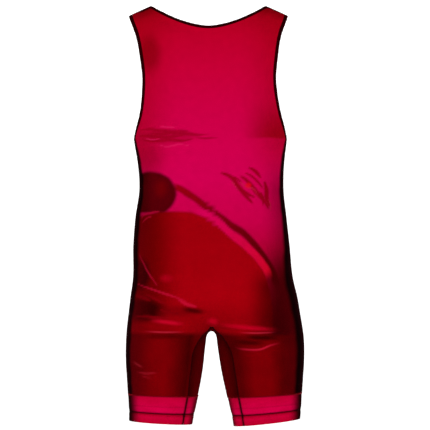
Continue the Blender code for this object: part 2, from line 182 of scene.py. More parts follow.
def shoulder_drop(off):
    """Drop of the shoulder line at a distance off the centre line."""
    eased = np.hypot(off, SHOULDER_EASE) - math.hypot(SHOULDER_HALF, SHOULDER_EASE)
    return SHOULDER_SLOPE * eased


def off_centre(angle, drop):
    half, centre = lobe(drop)
    reach = centre + half * power(np.sin(angle), 2 / at(LEVELS, "square", drop))
    return np.sign(reach) * np.sqrt(np.maximum(reach**2 - seat_ease(drop) ** 2, 0))


def angle_at(off, drop):
    half, centre = lobe(drop)
    share = np.clip((np.hypot(off, seat_ease(drop)) - centre) / half, -1, 1)
    return np.arcsin(power(share, at(LEVELS, "square", drop) / 2))


def shoulder_over(angle, drop):
    """How far the cloth has rolled over onto the shoulder: 0 below it, 1 on its line."""
    down = drop - shoulder_drop(off_centre(angle, drop))
    return np.clip(1 - down / SHOULDER_ROLL, 0, 1)


def rolled_form(face, side, angle, drop, roll):
    sign = SIDES[side]
    off = off_centre(angle, drop)
    middle = centre_line(drop)
    wider = 1 + sign * (at(LEVELS, "middle", drop) - middle) / at(LEVELS, "half", drop)
    depth = at(LEVELS, face, drop) * power(np.cos(angle), 2 / at(LEVELS, "square", drop)) * roll
    turned = np.clip((drop - HEM_RISE_FROM) / (HEM - HEM_RISE_FROM), 0, None) ** HEM_RISE_POWER
    x = middle + sign * off * wider
    y = at(LEVELS, "side", drop) + FACES[face] * (depth + SEAM_GAP / 2)
    z = -drop + HEM_RISE[side] * turned * (off - lobe(drop)[1])
    return np.stack([x, y, z], axis=-1)


def form(face, side, angle, drop):
    """Points of the smooth outer surface, before any fold."""
    angle, drop = np.broadcast_arrays(np.asarray(angle, float), np.asarray(drop, float))
    over = shoulder_over(angle, drop)
    return rolled_form(face, side, angle, drop, (1 - over**ROLL_POWER) ** (1 / ROLL_POWER))


def form_normal(face, side, angle, drop):
    """Outward unit normals of that surface."""
    angle, drop = np.broadcast_arrays(np.asarray(angle, float), np.asarray(drop, float))
    over = shoulder_over(angle, drop)
    line = shoulder_drop(off_centre(angle, drop))
    turn = np.arcsin(over ** (ROLL_POWER / 2))

    def on_roll(step_round, step_turn):
        share = power(np.sin(turn + step_turn), 2 / ROLL_POWER)
        moved = shoulder_drop(off_centre(angle + step_round, drop)) - line
        level = drop + moved - SHOULDER_ROLL * (share - over)
        roll = power(np.cos(turn + step_turn), 2 / ROLL_POWER)
        return rolled_form(face, side, angle + step_round, level, roll)

    round_it = form(face, side, angle + TINY, drop) - form(face, side, angle - TINY, drop)
    down_it = form(face, side, angle, drop + TINY) - form(face, side, angle, drop - TINY)
    round_roll = on_roll(TINY, 0) - on_roll(-TINY, 0)
    down_roll = on_roll(0, -TINY) - on_roll(0, TINY)
    rolled = (over > ROLLED)[..., None]
    normal = np.where(rolled, np.cross(round_roll, down_roll), np.cross(round_it, down_it))
    normal = normal * FACES[face] * SIDES[side]
    return normal / np.linalg.norm(normal, axis=-1, keepdims=True)


def inner_angle(face, drop):
    return angle_at(at(LEGS, "seam_" + face, drop), drop)


def outer_angle(face, drop):
    share = np.clip(at(ARMHOLES, face, drop), 0, 1)
    return np.arcsin(share ** (at(LEVELS, "square", drop) / 2))


def top_edge(face):
    """Distances off the centre line, and drops, of the neckline and then the shoulder seam."""
    corner = shoulder_drop(NECK_HALF)
    turn = (1 - np.linspace(1, 0, NECK_COLUMNS + 1) ** NECK_CROWDING) * math.pi / 2
    neck_off = NECK_HALF * np.sin(turn) ** (2 / NECK_ACROSS_POWER[face])
    across = np.abs(np.cos(turn)) ** (2 / NECK_DOWN_POWER[face])
    neck_drop = corner + (NECK_DROP[face] - corner) * across
    tip = SHOULDER_HALF
    for _ in range(SETTLING_STEPS):
        level = shoulder_drop(tip)
        tip = off_centre(outer_angle(face, level), level)
    strap_off = np.linspace(NECK_HALF, tip, STRAP_COLUMNS + 1)[1:]
    off = np.concatenate([neck_off, strap_off])
    return off, np.concatenate([neck_drop, shoulder_drop(strap_off)])


def leg_drops(face):
    """Drops of the rows down a leg, from the gusset's point to the hem band."""
    point = GUSSET_POINT[face]
    down = np.linspace(0, 1, LEG_ROWS + 1) ** LEG_CROWDING
    return point + (BAND_TOP - SEAM_GAP - point) * down


@functools.cache
def half_panel(face):
    """Angles and drops of one half of a panel, rows by columns from neck to hem band."""
    off, top = top_edge(face)
    share = np.linspace(0, 1, len(off))
    down = np.sin(np.linspace(0, math.pi / 2, YOKE_ROWS + 1)[:-1, None]) ** YOKE_CROWDING
    yoke = top + (UNDERARM - top) * down
    inner = inner_angle(face, UNDERARM)
    below = inner + (outer_angle(face, UNDERARM) - inner) * share
    start = angle_at(off, top)
    straight = start + (below - start) * down
    armhole = outer_angle(face, yoke[:, -1:])
    last = straight[:, -1:]
    strap = straight[:, NECK_COLUMNS : NECK_COLUMNS + 1]
    bent = strap + (armhole - last) * ARMHOLE_PULL * down**PULL_ONSET
    inner = inner_angle(face, yoke)
    middle = straight[:, :1]
    neck_part = inner + (bent - inner) * (straight - middle) / (strap - middle)
    strap_part = bent + (straight - strap) * (armhole - bent) / (last - strap)
    yoke_angles = np.where(np.arange(len(off)) < NECK_COLUMNS, neck_part, strap_part)
    body = np.linspace(UNDERARM, GUSSET_POINT[face], BODY_ROWS + 1)[:-1]
    level = np.repeat(np.concatenate([body, leg_drops(face)])[:, None], len(off), axis=1)
    inner = inner_angle(face, level)
    level_angles = inner + (outer_angle(face, level) - inner) * share
    return np.concatenate([yoke_angles, level_angles]), np.concatenate([yoke, level])


# Folds and the figure are both drawn as lines on the cloth, at x across and z up.
def ease_in(value):
    value = np.clip(value, 0, 1)
    return value * value * (3 - 2 * value)


def through(path, steps=6):
    """A smooth line through a few points."""
    points = np.array(path, float)
    slopes = np.gradient(points, axis=0)
    t = np.linspace(0, 1, steps, endpoint=False)[:, None]
    line = []
    for a, b, slope_a, slope_b in zip(points[:-1], points[1:], slopes[:-1], slopes[1:]):
        bend = (slope_a - (b - a)) * (1 - t) + ((b - a) - slope_b) * t
        line.append(a + (b - a) * t + t * (1 - t) * bend)
    return np.concatenate([*line, points[-1:]])


def beside(x, z, path):
    """Distance from a line, more than 0 above it, and how far along it, 0 to 1."""
    line = through(path)
    steps = np.diff(line, axis=0)
    lengths = np.hypot(steps[:, 0], steps[:, 1])
    nearest = np.full(x.shape, np.inf)
    signed = np.zeros(x.shape)
    share = np.zeros(x.shape)
    run = 0.0
    for (px, pz), (dx, dz), length in zip(line[:-1], steps, lengths):
        t = np.clip(((x - px) * dx + (z - pz) * dz) / length**2, 0, 1)
        away_x = x - px - t * dx
        away_z = z - pz - t * dz
        distance = np.hypot(away_x, away_z)
        closer = distance < nearest
        above = np.where(dx * away_z - dz * away_x < 0, -1.0, 1.0)
        signed = np.where(closer, distance * above, signed)
        share = np.where(closer, (run + t * length) / lengths.sum(), share)
        nearest = np.where(closer, distance, nearest)
        run += length
    return signed, share


def taper(share, ends=0.25):
    """Fades a line in and out at its two ends."""
    return ease_in(share / ends) * ease_in((1 - share) / ends)


def oval(x, z, centre, size, soft=0.35):
    """1 inside an oval, fading to 0 at its edge over a share of its size."""
    radius = np.hypot((x - centre[0]) / size[0], (z - centre[1]) / size[1])
    return ease_in((1 - radius) / soft)


def patch(colour, place, centre, size, soft, cover, shade):
    """Dyes one soft oval patch."""
    return dyed(colour, cover * oval(*place, centre, size, soft), shade)


def mottle(x, z, size, layer):
    """Soft uneven patches of about this size, from -1 to 1."""
    flat = zip(x.ravel() / size, z.ravel() / size)
    return np.array([noise.noise((a, b, layer)) for a, b in flat]).reshape(x.shape)


# Each fold: its line, how wide it is, how high it stands, and how much wider its upper slope is.
FOLDS = {
    "back": [
        (
            [(-0.160, -0.601), (-0.114, -0.610), (-0.083, -0.615), (-0.048, -0.617), (-0.022, -0.624)],
            0.0060, 0.0034, 3.0,
        ),
        (
            [(-0.160, -0.631), (-0.128, -0.6315), (-0.090, -0.6335),
             (-0.052, -0.6335), (-0.022, -0.629)],
            0.0030, 0.0030, 4.0,
        ),
        (
            [(-0.150, -0.641), (-0.110, -0.643), (-0.060, -0.642), (-0.030, -0.638)],
            0.0060, -0.0022, 1.0,
        ),
        ([(-0.060, -0.586), (-0.035, -0.590), (-0.012, -0.594)], 0.0050, -0.0026, 1.0),
        (
            [(-0.150, -0.620), (-0.120, -0.624), (-0.085, -0.6255), (-0.050, -0.625)],
            0.0045, -0.0018, 1.0,
        ),
        ([(-0.014, -0.607), (0.001, -0.611), (0.016, -0.617)], 0.0070, 0.0030, 1.3),
        (
            [(-0.007, -0.611), (0.029, -0.619), (0.068, -0.6225),
             (0.100, -0.625), (0.132, -0.628), (0.166, -0.630)],
            0.0060, 0.0038, 3.0,
        ),
        (
            [(0.040, -0.633), (0.068, -0.6345), (0.100, -0.6350), (0.130, -0.6340), (0.160, -0.631)],
            0.0026, 0.0028, 2.4,
        ),
        ([(0.070, -0.642), (0.095, -0.6445), (0.120, -0.6445), (0.145, -0.640)], 0.0042, -0.0034, 1.0),
        ([(0.050, -0.650), (0.070, -0.6535), (0.090, -0.6540), (0.108, -0.652)], 0.0042, -0.0030, 1.0),
        (
            [(0.038, -0.655), (0.050, -0.6635), (0.070, -0.6675),
             (0.096, -0.6670), (0.118, -0.6590), (0.148, -0.6525)],
            0.0032, 0.0032, 2.2,
        ),
        ([(0.052, -0.676), (0.080, -0.6790), (0.110, -0.6740), (0.140, -0.668)], 0.0070, -0.0016, 1.0),
        ([(-0.158, -0.686), (-0.145, -0.696), (-0.128, -0.7045)], 0.0034, 0.0022, 1.6),
        (
            [(-0.150, -0.708), (-0.134, -0.7135), (-0.114, -0.7145), (-0.096, -0.7110)],
            0.0028, 0.0020, 2.0,
        ),
        ([(-0.142, -0.7165), (-0.128, -0.7215), (-0.112, -0.7225)], 0.0026, 0.0016, 1.6),
        ([(-0.146, -0.731), (-0.128, -0.7325), (-0.106, -0.7310)], 0.0030, 0.0010, 1.6),
        ([(-0.150, -0.538), (-0.118, -0.549), (-0.085, -0.560), (-0.045, -0.574)], 0.0040, 0.0012, 2.0),
        ([(-0.152, -0.262), (-0.128, -0.268), (-0.098, -0.271)], 0.0050, 0.0010, 1.6),
        ([(0.150, -0.263), (0.124, -0.270), (0.092, -0.274)], 0.0050, 0.0010, 1.6),
        ([(-0.140, -0.345), (-0.105, -0.352), (-0.065, -0.350)], 0.0080, 0.0008, 1.5),
        ([(0.142, -0.352), (0.110, -0.359), (0.070, -0.358)], 0.0080, 0.0008, 1.5),
    ],
    "front": [
        (
            [(0.014, -0.606), (0.040, -0.592), (0.078, -0.577), (0.120, -0.567), (0.160, -0.562)],
            0.0060, 0.0032, 2.6,
        ),
        (
            [(-0.016, -0.604), (-0.044, -0.590), (-0.080, -0.578), (-0.118, -0.571), (-0.150, -0.567)],
            0.0060, 0.0030, 2.6,
        ),
        ([(0.024, -0.617), (0.060, -0.601), (0.100, -0.590), (0.145, -0.584)], 0.0032, 0.0024, 2.2),
        ([(-0.024, -0.615), (-0.062, -0.603), (-0.104, -0.594), (-0.140, -0.592)], 0.0032, 0.0024, 2.2),
        ([(0.030, -0.632), (0.066, -0.620), (0.108, -0.612)], 0.0050, -0.0024, 1.0),
        ([(-0.032, -0.630), (-0.070, -0.621), (-0.110, -0.616)], 0.0050, -0.0022, 1.0),
        ([(-0.026, -0.560), (0.000, -0.566), (0.026, -0.561)], 0.0050, -0.0016, 1.0),
        ([(0.050, -0.655), (0.078, -0.662), (0.106, -0.660), (0.136, -0.652)], 0.0034, 0.0020, 2.0),
        ([(-0.148, -0.678), (-0.126, -0.688), (-0.104, -0.690)], 0.0032, 0.0018, 1.6),
        ([(0.070, -0.705), (0.095, -0.711), (0.122, -0.708)], 0.0030, 0.0014, 1.6),
        ([(-0.152, -0.268), (-0.120, -0.277), (-0.082, -0.279)], 0.0060, 0.0012, 1.6),
        ([(0.152, -0.270), (0.122, -0.280), (0.085, -0.283)], 0.0060, 0.0012, 1.6),
        ([(-0.142, -0.372), (-0.100, -0.380), (-0.050, -0.379)], 0.0080, 0.0012, 1.5),
        ([(0.144, -0.390), (0.106, -0.399), (0.060, -0.397)], 0.0080, 0.0012, 1.5),
    ],
}


def fold_height(face, x, z):
    """How far the cloth stands off its smooth form."""
    height = 0.0007 * mottle(x, z, 0.055, FACES[face])
    height = height + 0.00035 * mottle(x, z, 0.022, 4 + FACES[face])
    for path, width, rise, upper in FOLDS[face]:
        signed, share = beside(x, z, path)
        reach = np.where(signed > 0, width * upper, width)
        height = height + rise * np.exp(-((signed / reach) ** 2)) * taper(share)
    return height


DYE_DEPTH = 0.72


def dye(red, green, blue):
    """A dye colour, given as it is matched under a bright light."""
    return DYE_DEPTH * (np.array([red, green, blue]) / 255) ** 2.2


def dyed(colour, cover, other):
    return colour + (other - colour) * cover[..., None]


def down_the_cloth(z, stops):
    """A colour that changes smoothly with the drop."""
    drops = [drop for drop, _ in stops]
    channels = [np.interp(-z, drops, [shade[i] for _, shade in stops]) for i in range(3)]
    return np.stack(channels, axis=-1)


RED = dye(165, 0, 22)
NEAR_BLACK = dye(24, 6, 4)
PINK = dye(205, 40, 72)
SCARLET = dye(222, 16, 36)

GROUND = [
    (0.000, dye(178, 0, 32)),
    (0.050, dye(192, 0, 46)),
    (0.120, dye(200, 0, 58)),
    (0.220, dye(204, 0, 72)),
    (0.330, dye(209, 0, 82)),
    (0.420, dye(206, 0, 76)),
    (0.470, dye(188, 0, 58)),
    (0.530, dye(140, 0, 34)),
    (0.590, dye(96, 0, 16)),
    (0.620, dye(80, 0, 10)),
]

# The figure: a large disc low on the back with a bright rim and a dark arc round it, a dark
# round shape at the side, a streaky wave across the shoulder blades and a wing of pen strokes.
DISC_TOP = [
    (-0.200, -0.418), (-0.135, -0.405), (-0.100, -0.396), (-0.060, -0.395), (-0.034, -0.398),
    (-0.009, -0.408), (0.013, -0.423), (0.037, -0.446), (0.064, -0.468), (0.086, -0.489),
    (0.102, -0.511), (0.112, -0.534), (0.119, -0.570), (0.122, -0.640),
]
DARK_ARC = [
    (-0.078, -0.344), (-0.058, -0.354), (-0.034, -0.369), (-0.009, -0.387), (0.014, -0.404),
    (0.036, -0.420), (0.062, -0.438), (0.082, -0.457), (0.100, -0.480), (0.115, -0.503),
    (0.126, -0.527), (0.132, -0.555),
]
WAVES = [
    ([(-0.140, -0.2370), (-0.118, -0.2360), (-0.098, -0.2385), (-0.074, -0.2390)], 0.0020),
    (
        [(-0.118, -0.2425), (-0.098, -0.2450), (-0.078, -0.2420), (-0.058, -0.2395), (-0.040, -0.2410)],
        0.0027,
    ),
    (
        [(-0.142, -0.2490), (-0.116, -0.2485), (-0.090, -0.2515), (-0.066, -0.2490), (-0.048, -0.2465)],
        0.0024,
    ),
    (
        [(-0.134, -0.2565), (-0.106, -0.2590), (-0.080, -0.2560), (-0.056, -0.2585), (-0.032, -0.2550)],
        0.0022,
    ),
    ([(-0.078, -0.2460), (-0.052, -0.2440), (-0.028, -0.2470), (-0.006, -0.2465)], 0.0024),
    ([(-0.030, -0.2520), (-0.010, -0.2540), (0.014, -0.2520)], 0.0014),
]
WAVE_CRESTS = [
    ([(-0.106, -0.266), (-0.086, -0.270), (-0.060, -0.266), (-0.040, -0.270)], 0.0014),
    ([(-0.130, -0.2535), (-0.112, -0.2560), (-0.098, -0.2535)], 0.0010),
    ([(-0.100, -0.230), (-0.080, -0.233), (-0.064, -0.230)], 0.0012),
]
WING = [
    (
        [(0.018, -0.319), (0.032, -0.325), (0.046, -0.336),
         (0.058, -0.351), (0.070, -0.367), (0.086, -0.384)],
        0.0046,
    ),
    (
        [(0.056, -0.327), (0.068, -0.333), (0.080, -0.346),
         (0.092, -0.361), (0.106, -0.376), (0.117, -0.394)],
        0.0044,
    ),
    ([(0.074, -0.310), (0.087, -0.317), (0.100, -0.332)], 0.0032),
    ([(0.106, -0.336), (0.110, -0.354), (0.111, -0.371), (0.119, -0.388)], 0.0044),
    ([(0.044, -0.341), (0.060, -0.353), (0.074, -0.363), (0.090, -0.371)], 0.0030),
    ([(0.066, -0.320), (0.082, -0.328), (0.095, -0.341), (0.104, -0.354)], 0.0022),
    ([(0.034, -0.329), (0.050, -0.332), (0.064, -0.342)], 0.0020),
    ([(0.098, -0.358), (0.104, -0.372), (0.104, -0.386)], 0.0024),
]
WING_LIGHTS = [
    ([(0.058, -0.338), (0.070, -0.348), (0.085, -0.353), (0.094, -0.366)], 0.0014),
    ([(0.114, -0.372), (0.119, -0.384), (0.120, -0.396)], 0.0012),
    ([(0.036, -0.334), (0.047, -0.345), (0.056, -0.358)], 0.0010),
]
SPEARS = [
    ([(-0.141, -0.480), (-0.127, -0.507), (-0.115, -0.527), (-0.103, -0.544)], 0.0014),
    ([(-0.150, -0.5370), (-0.122, -0.5470), (-0.086, -0.5585), (-0.046, -0.5730)], 0.0019),
    ([(-0.064, -0.5690), (-0.046, -0.5780), (-0.026, -0.5840)], 0.0034),
    ([(-0.138, -0.412), (-0.126, -0.402), (-0.108, -0.398), (-0.092, -0.399)], 0.0013),
    ([(-0.136, -0.420), (-0.124, -0.410), (-0.112, -0.406)], 0.0011),
]


STREAKS = [
    ([(-0.152, -0.562), (-0.134, -0.566), (-0.116, -0.572)], 0.0030),
    ([(-0.128, -0.560), (-0.108, -0.568), (-0.086, -0.578)], 0.0030),
    ([(-0.150, -0.604), (-0.126, -0.602), (-0.100, -0.605), (-0.076, -0.604)], 0.0026),
    ([(-0.100, -0.588), (-0.080, -0.594), (-0.058, -0.598)], 0.0026),
]


def drawn(x, z, strokes, grow=1.0):
    """Cover of a group of tapering strokes, each a line and half its width."""
    cover = np.zeros(x.shape)
    for path, width in strokes:
        signed, share = beside(x, z, path)
        reach = width * grow * (0.45 + 0.55 * taper(share, 0.4))
        cover = np.maximum(cover, ease_in((reach * 1.5 - np.abs(signed)) / reach) * taper(share, 0.08))
    return cover


SHADE_DROPS = [0.240, 0.262, 0.285, 0.330, 0.360, 0.450, 0.540, 0.620, 0.700, 0.760]
SHADE_REACH = [0.0020, 0.0056, 0.0070, 0.0086, 0.0096, 0.0112, 0.0110, 0.0096, 0.0092, 0.0092]


def side_shade(x, z):
    """1 at the side seams, where the print runs into black and painted shade falls as the sides turn away,
    falling to 0 further in.
    """
    drop = -z
    edge = at(LEVELS, "half", drop) - np.abs(x - at(LEVELS, "middle", drop))
    edge = edge + 0.0012 * mottle(x, z, 0.020, 17)
    reach = np.interp(drop, SHADE_DROPS, SHADE_REACH)
    reach = reach * (1 + 0.7 * ease_in(x / 0.05) * ease_in((drop - 0.42) / 0.14))
    return ease_in((1.35 - edge / reach) / 0.60) * ease_in((drop - 0.236) / 0.02)


def trunk_print_and_shade(x, z):
    """The figure over the back, down to the tops of the legs, with painted shade at the right hip."""
    wander_x = x + 0.0016 * mottle(x, z, 0.026, 11)
    wander_z = z + 0.0016 * mottle(x, z, 0.026, 12)
    place = (wander_x, wander_z)
    colour = down_the_cloth(z, GROUND)
    outward = ease_in((np.abs(x) - 0.050) / 0.100) * ease_in((z + 0.36) / 0.10)
    colour = dyed(colour, 0.62 * outward, RED)
    wedge = ease_in((wander_x - 0.050) / 0.075) * ease_in((wander_z + 0.2560) / 0.006)
    colour = dyed(colour, 0.80 * wedge * ease_in((-0.160 - z) / 0.090), dye(146, 0, 18))
    colour = patch(colour, place, (-0.120, -0.088), (0.032, 0.052), 0.7, 0.62, dye(128, 0, 12))
    colour = dyed(colour, 0.45 * oval(x, z, (-0.125, -0.292), (0.050, 0.045), 0.8), dye(140, 0, 30))
    colour = patch(colour, place, (-0.088, -0.250), (0.078, 0.018), 0.5, 0.55, dye(158, 0, 40))
    colour = dyed(colour, 0.60 * drawn(wander_x, wander_z, WAVES, 1.35), dye(146, 0, 26))
    colour = dyed(colour, 0.50 * drawn(wander_x, wander_z, WAVE_CRESTS), dye(226, 36, 96))
    # Painted shade: the right hip darkens towards its side, low on the back.
    hip_shade = ease_in((x - 0.085) / 0.060) * ease_in((-0.430 - z) / 0.110)
    colour = dyed(colour, 0.95 * hip_shade, dye(54, 0, 10))
    signed, share = beside(wander_x, wander_z, DARK_ARC)
    arc = ease_in((0.0092 - np.abs(signed)) / 0.0052) * ease_in(share / 0.05) * ease_in((1 - share) / 0.10)
    arc_shade = dye(150, 0, 18) * (1 - share[..., None]) + dye(46, 0, 6) * share[..., None]
    colour = colour + (arc_shade - colour) * (0.96 * arc)[..., None]
    top_x = [point[0] for point in DISC_TOP]
    top_z = [point[1] for point in DISC_TOP]
    below = np.interp(wander_x, top_x, top_z) - wander_z
    inside = ease_in((below + 0.002) / 0.006)
    disc = dyed(np.broadcast_to(dye(168, 0, 22), colour.shape), ease_in((-0.045 - x) / 0.075), dye(104, 0, 6))
    disc = dyed(disc, 0.75 * ease_in((-0.560 - z) / 0.050), dye(140, 0, 18))
    # Painted shade: the disc's right part darkens into the shade of the right hip.
    disc = dyed(disc, ease_in((x - 0.062) / 0.060) * ease_in((-0.490 - z) / 0.060), dye(58, 0, 8))
    disc = dyed(disc, 0.35 * (0.5 + 0.5 * mottle(x, z, 0.060, 15)), dye(146, 0, 12))
    colour = colour + (disc - colour) * inside[..., None]
    rim_line = DISC_TOP[4:12]
    signed, share = beside(wander_x, wander_z, rim_line)
    glow = ease_in((0.0085 - np.abs(signed - 0.0065)) / 0.0035) * taper(share, 0.12)
    glow_shade = dye(222, 0, 94) * (1 - share[..., None]) + SCARLET * share[..., None]
    colour = colour + (glow_shade - colour) * (0.85 * glow)[..., None]
    blob = oval(*place, (-0.116, -0.362), (0.053, 0.047), 0.16)
    blob = blob * ease_in((wander_z + 0.402) / 0.006)
    colour = dyed(colour, 0.97 * blob, dye(80, 0, 6))
    colour = dyed(colour, blob * ease_in((-0.112 - x) / 0.022), dye(34, 4, 2))
    colour = dyed(colour, 0.45 * blob * oval(x, z, (-0.098, -0.352), (0.020, 0.026), 0.9), dye(132, 0, 12))
    colour = dyed(colour, 0.92 * drawn(wander_x, wander_z, WING), dye(146, 0, 24))
    colour = dyed(colour, 0.60 * drawn(wander_x, wander_z, WING_LIGHTS), PINK)
    colour = patch(colour, place, (0.074, -0.3455), (0.0085, 0.0070), 0.6, 0.85, SCARLET)
    colour = patch(colour, place, (-0.142, -0.520), (0.030, 0.040), 0.5, 0.96, dye(24, 6, 2))
    colour = patch(colour, place, (-0.136, -0.590), (0.064, 0.032), 0.6, 0.92, dye(42, 3, 5))
    colour = dyed(colour, 0.70 * drawn(wander_x, wander_z, STREAKS), dye(136, 0, 22))
    colour = patch(colour, place, (-0.060, -0.592), (0.060, 0.015), 0.7, 0.55, dye(112, 0, 14))
    colour = patch(colour, place, (-0.086, -0.528), (0.020, 0.012), 0.9, 0.60, dye(186, 0, 34))
    colour = dyed(colour, 0.70 * drawn(wander_x, wander_z, SPEARS), dye(200, 24, 56))
    return colour


# Painted shade: each leg darkens to black at its outer and inner edges, where it turns away, and in a band
# beside the gusset seam.
LEG_TONES_AND_SHADE = {  # across a leg from its outer side to its inner side
    "left": (
        [0.00, 0.12, 0.30, 0.50, 0.68, 0.80, 0.92, 1.00],
        [0.05, 0.45, 0.85, 1.00, 0.55, 0.30, 0.85, 0.15],
    ),
    "right": (
        [0.00, 0.12, 0.26, 0.42, 0.60, 0.78, 0.92, 1.00],
        [0.05, 0.30, 0.45, 0.95, 0.95, 0.45, 0.40, 0.10],
    ),
}


def leg_print_and_shade(x, z):
    """Plain dark red on the legs, with painted shade darkening each to black at both edges and beside the
    gusset seam.
    """
    drop = -z
    middle = centre_line(drop)
    inner = middle + np.sign(x - middle) * at(LEGS, "gap", drop)
    outer = at(LEVELS, "middle", drop) + np.sign(x - middle) * at(LEVELS, "half", drop)
    across = np.clip((x - outer) / np.where(np.abs(inner - outer) < TINY, TINY, inner - outer), 0, 1)
    left = np.interp(across, *LEG_TONES_AND_SHADE["left"])
    right = np.interp(across, *LEG_TONES_AND_SHADE["right"])
    tone = np.where(x < middle, left, right) + 0.10 * mottle(x, z, 0.030, 21)
    tone = np.clip(tone, 0, 1)[..., None]
    return NEAR_BLACK * (1 - tone) + dye(124, 0, 14) * tone


# Painted highlights along the tops of the folds and painted shade in the hollows under them.
FOLD_HIGHLIGHTS_AND_SHADE = {
    "back": [
        (
            [(-0.122, -0.609), (-0.096, -0.612), (-0.070, -0.615), (-0.046, -0.617)],
            0.0026, dye(212, 16, 48), 0.70,
        ),
        ([(-0.134, -0.6315), (-0.090, -0.6330), (-0.046, -0.6325)], 0.0011, dye(190, 40, 60), 0.70),
        ([(-0.150, -0.6400), (-0.090, -0.6410), (-0.036, -0.6380)], 0.0040, dye(58, 4, 4), 0.55),
        (
            [(-0.062, -0.5850), (-0.044, -0.5890), (-0.025, -0.5920), (-0.004, -0.5945)],
            0.0036, dye(52, 4, 4), 0.80,
        ),
        ([(-0.010, -0.6105), (0.004, -0.6125), (0.018, -0.6170)], 0.0045, dye(205, 8, 40), 0.70),
        (
            [(0.008, -0.6150), (0.036, -0.6205), (0.068, -0.6235), (0.104, -0.6265), (0.138, -0.6290)],
            0.0030, dye(205, 0, 42), 0.62,
        ),
        ([(0.052, -0.6335), (0.090, -0.6345), (0.132, -0.6330)], 0.0010, dye(196, 40, 62), 0.65),
        (
            [(0.050, -0.6410), (0.080, -0.6430), (0.110, -0.6440), (0.148, -0.6420)],
            0.0038, dye(44, 4, 2), 0.85,
        ),
        (
            [(0.036, -0.6490), (0.060, -0.6525), (0.086, -0.6540), (0.116, -0.6520)],
            0.0034, dye(52, 4, 2), 0.75,
        ),
        (
            [(0.044, -0.6605), (0.062, -0.6665), (0.096, -0.6670), (0.117, -0.6590), (0.142, -0.6530)],
            0.0013, dye(204, 30, 56), 0.80,
        ),
        ([(-0.154, -0.690), (-0.142, -0.698), (-0.130, -0.7035)], 0.0013, dye(170, 40, 50), 0.45),
        ([(-0.148, -0.7105), (-0.126, -0.7145), (-0.100, -0.7120)], 0.0012, dye(178, 34, 48), 0.55),
        ([(-0.138, -0.7185), (-0.124, -0.7225), (-0.112, -0.7225)], 0.0010, dye(165, 30, 42), 0.45),
    ],
    "front": [
        (
            [(0.020, -0.603), (0.060, -0.584), (0.104, -0.571), (0.142, -0.564)],
            0.0026, dye(205, 12, 44), 0.60,
        ),
        (
            [(-0.022, -0.601), (-0.062, -0.584), (-0.104, -0.574), (-0.138, -0.569)],
            0.0026, dye(205, 12, 44), 0.60,
        ),
        ([(0.034, -0.630), (0.070, -0.618), (0.112, -0.610)], 0.0034, dye(50, 3, 3), 0.60),
        ([(-0.036, -0.628), (-0.074, -0.619), (-0.112, -0.615)], 0.0034, dye(50, 3, 3), 0.60),
        (
            [(0.056, -0.656), (0.080, -0.662), (0.106, -0.660), (0.130, -0.653)],
            0.0013, dye(190, 30, 50), 0.55,
        ),
    ],
}


def cloth_colour(face, x, z):
    """The whole print of a panel, with painted shade at its sides, shoulders and folds and painted highlights
    on the folds. The front carries the same figure turned about.
    """
    if face == "back":
        trunk = trunk_print_and_shade(x, z)
        leg_starts = 0.630 + 0.004 * ease_in(x / 0.10)
    else:
        trunk = trunk_print_and_shade(-x * 0.96, z + 0.022)
        leg_starts = 0.616 - 0.30 * np.abs(x)
    legs = ease_in((-z - leg_starts) / 0.012)
    colour = dyed(trunk, legs, leg_print_and_shade(x, z))
    # Painted shade: darker within 58 mm of the sides, from below the underarm down, where the body turns
    # away.
    edge = at(LEVELS, "half", -z) - np.abs(x - at(LEVELS, "middle", -z))
    inward = ease_in(1 - edge / 0.058) * ease_in((-z - 0.285) / 0.080)
    colour = dyed(colour, 0.62 * inward, dye(92, 0, 16))
    # Black at the sides: part print, part painted shade where the body turns away.
    colour = dyed(colour, side_shade(x, z), dye(10, 2, 2))
    # Painted shade over the last 26 mm below the shoulder seam, where the cloth rolls over the shoulder, with
    # a narrow black line along the seam.
    below_seam = -z - shoulder_drop(np.clip(np.abs(x), NECK_HALF, SHOULDER_HALF))
    colour = dyed(colour, 0.62 * ease_in(1 - below_seam / 0.026), dye(104, 0, 12))
    colour = dyed(colour, 0.92 * ease_in(1.5 - below_seam / 0.0034), dye(24, 2, 4))
    # Painted highlights and painted shade along the folds.
    for path, width, shade, cover in FOLD_HIGHLIGHTS_AND_SHADE[face]:
        signed, share = beside(x, z, path)
        lit = ease_in((width * 2.2 - np.abs(signed)) / (width * 2.0)) * taper(share, 0.40)
        colour = dyed(colour, cover * lit, shade)
    return colour * (1 + 0.05 * mottle(x, z, 0.012, 31))[..., None]


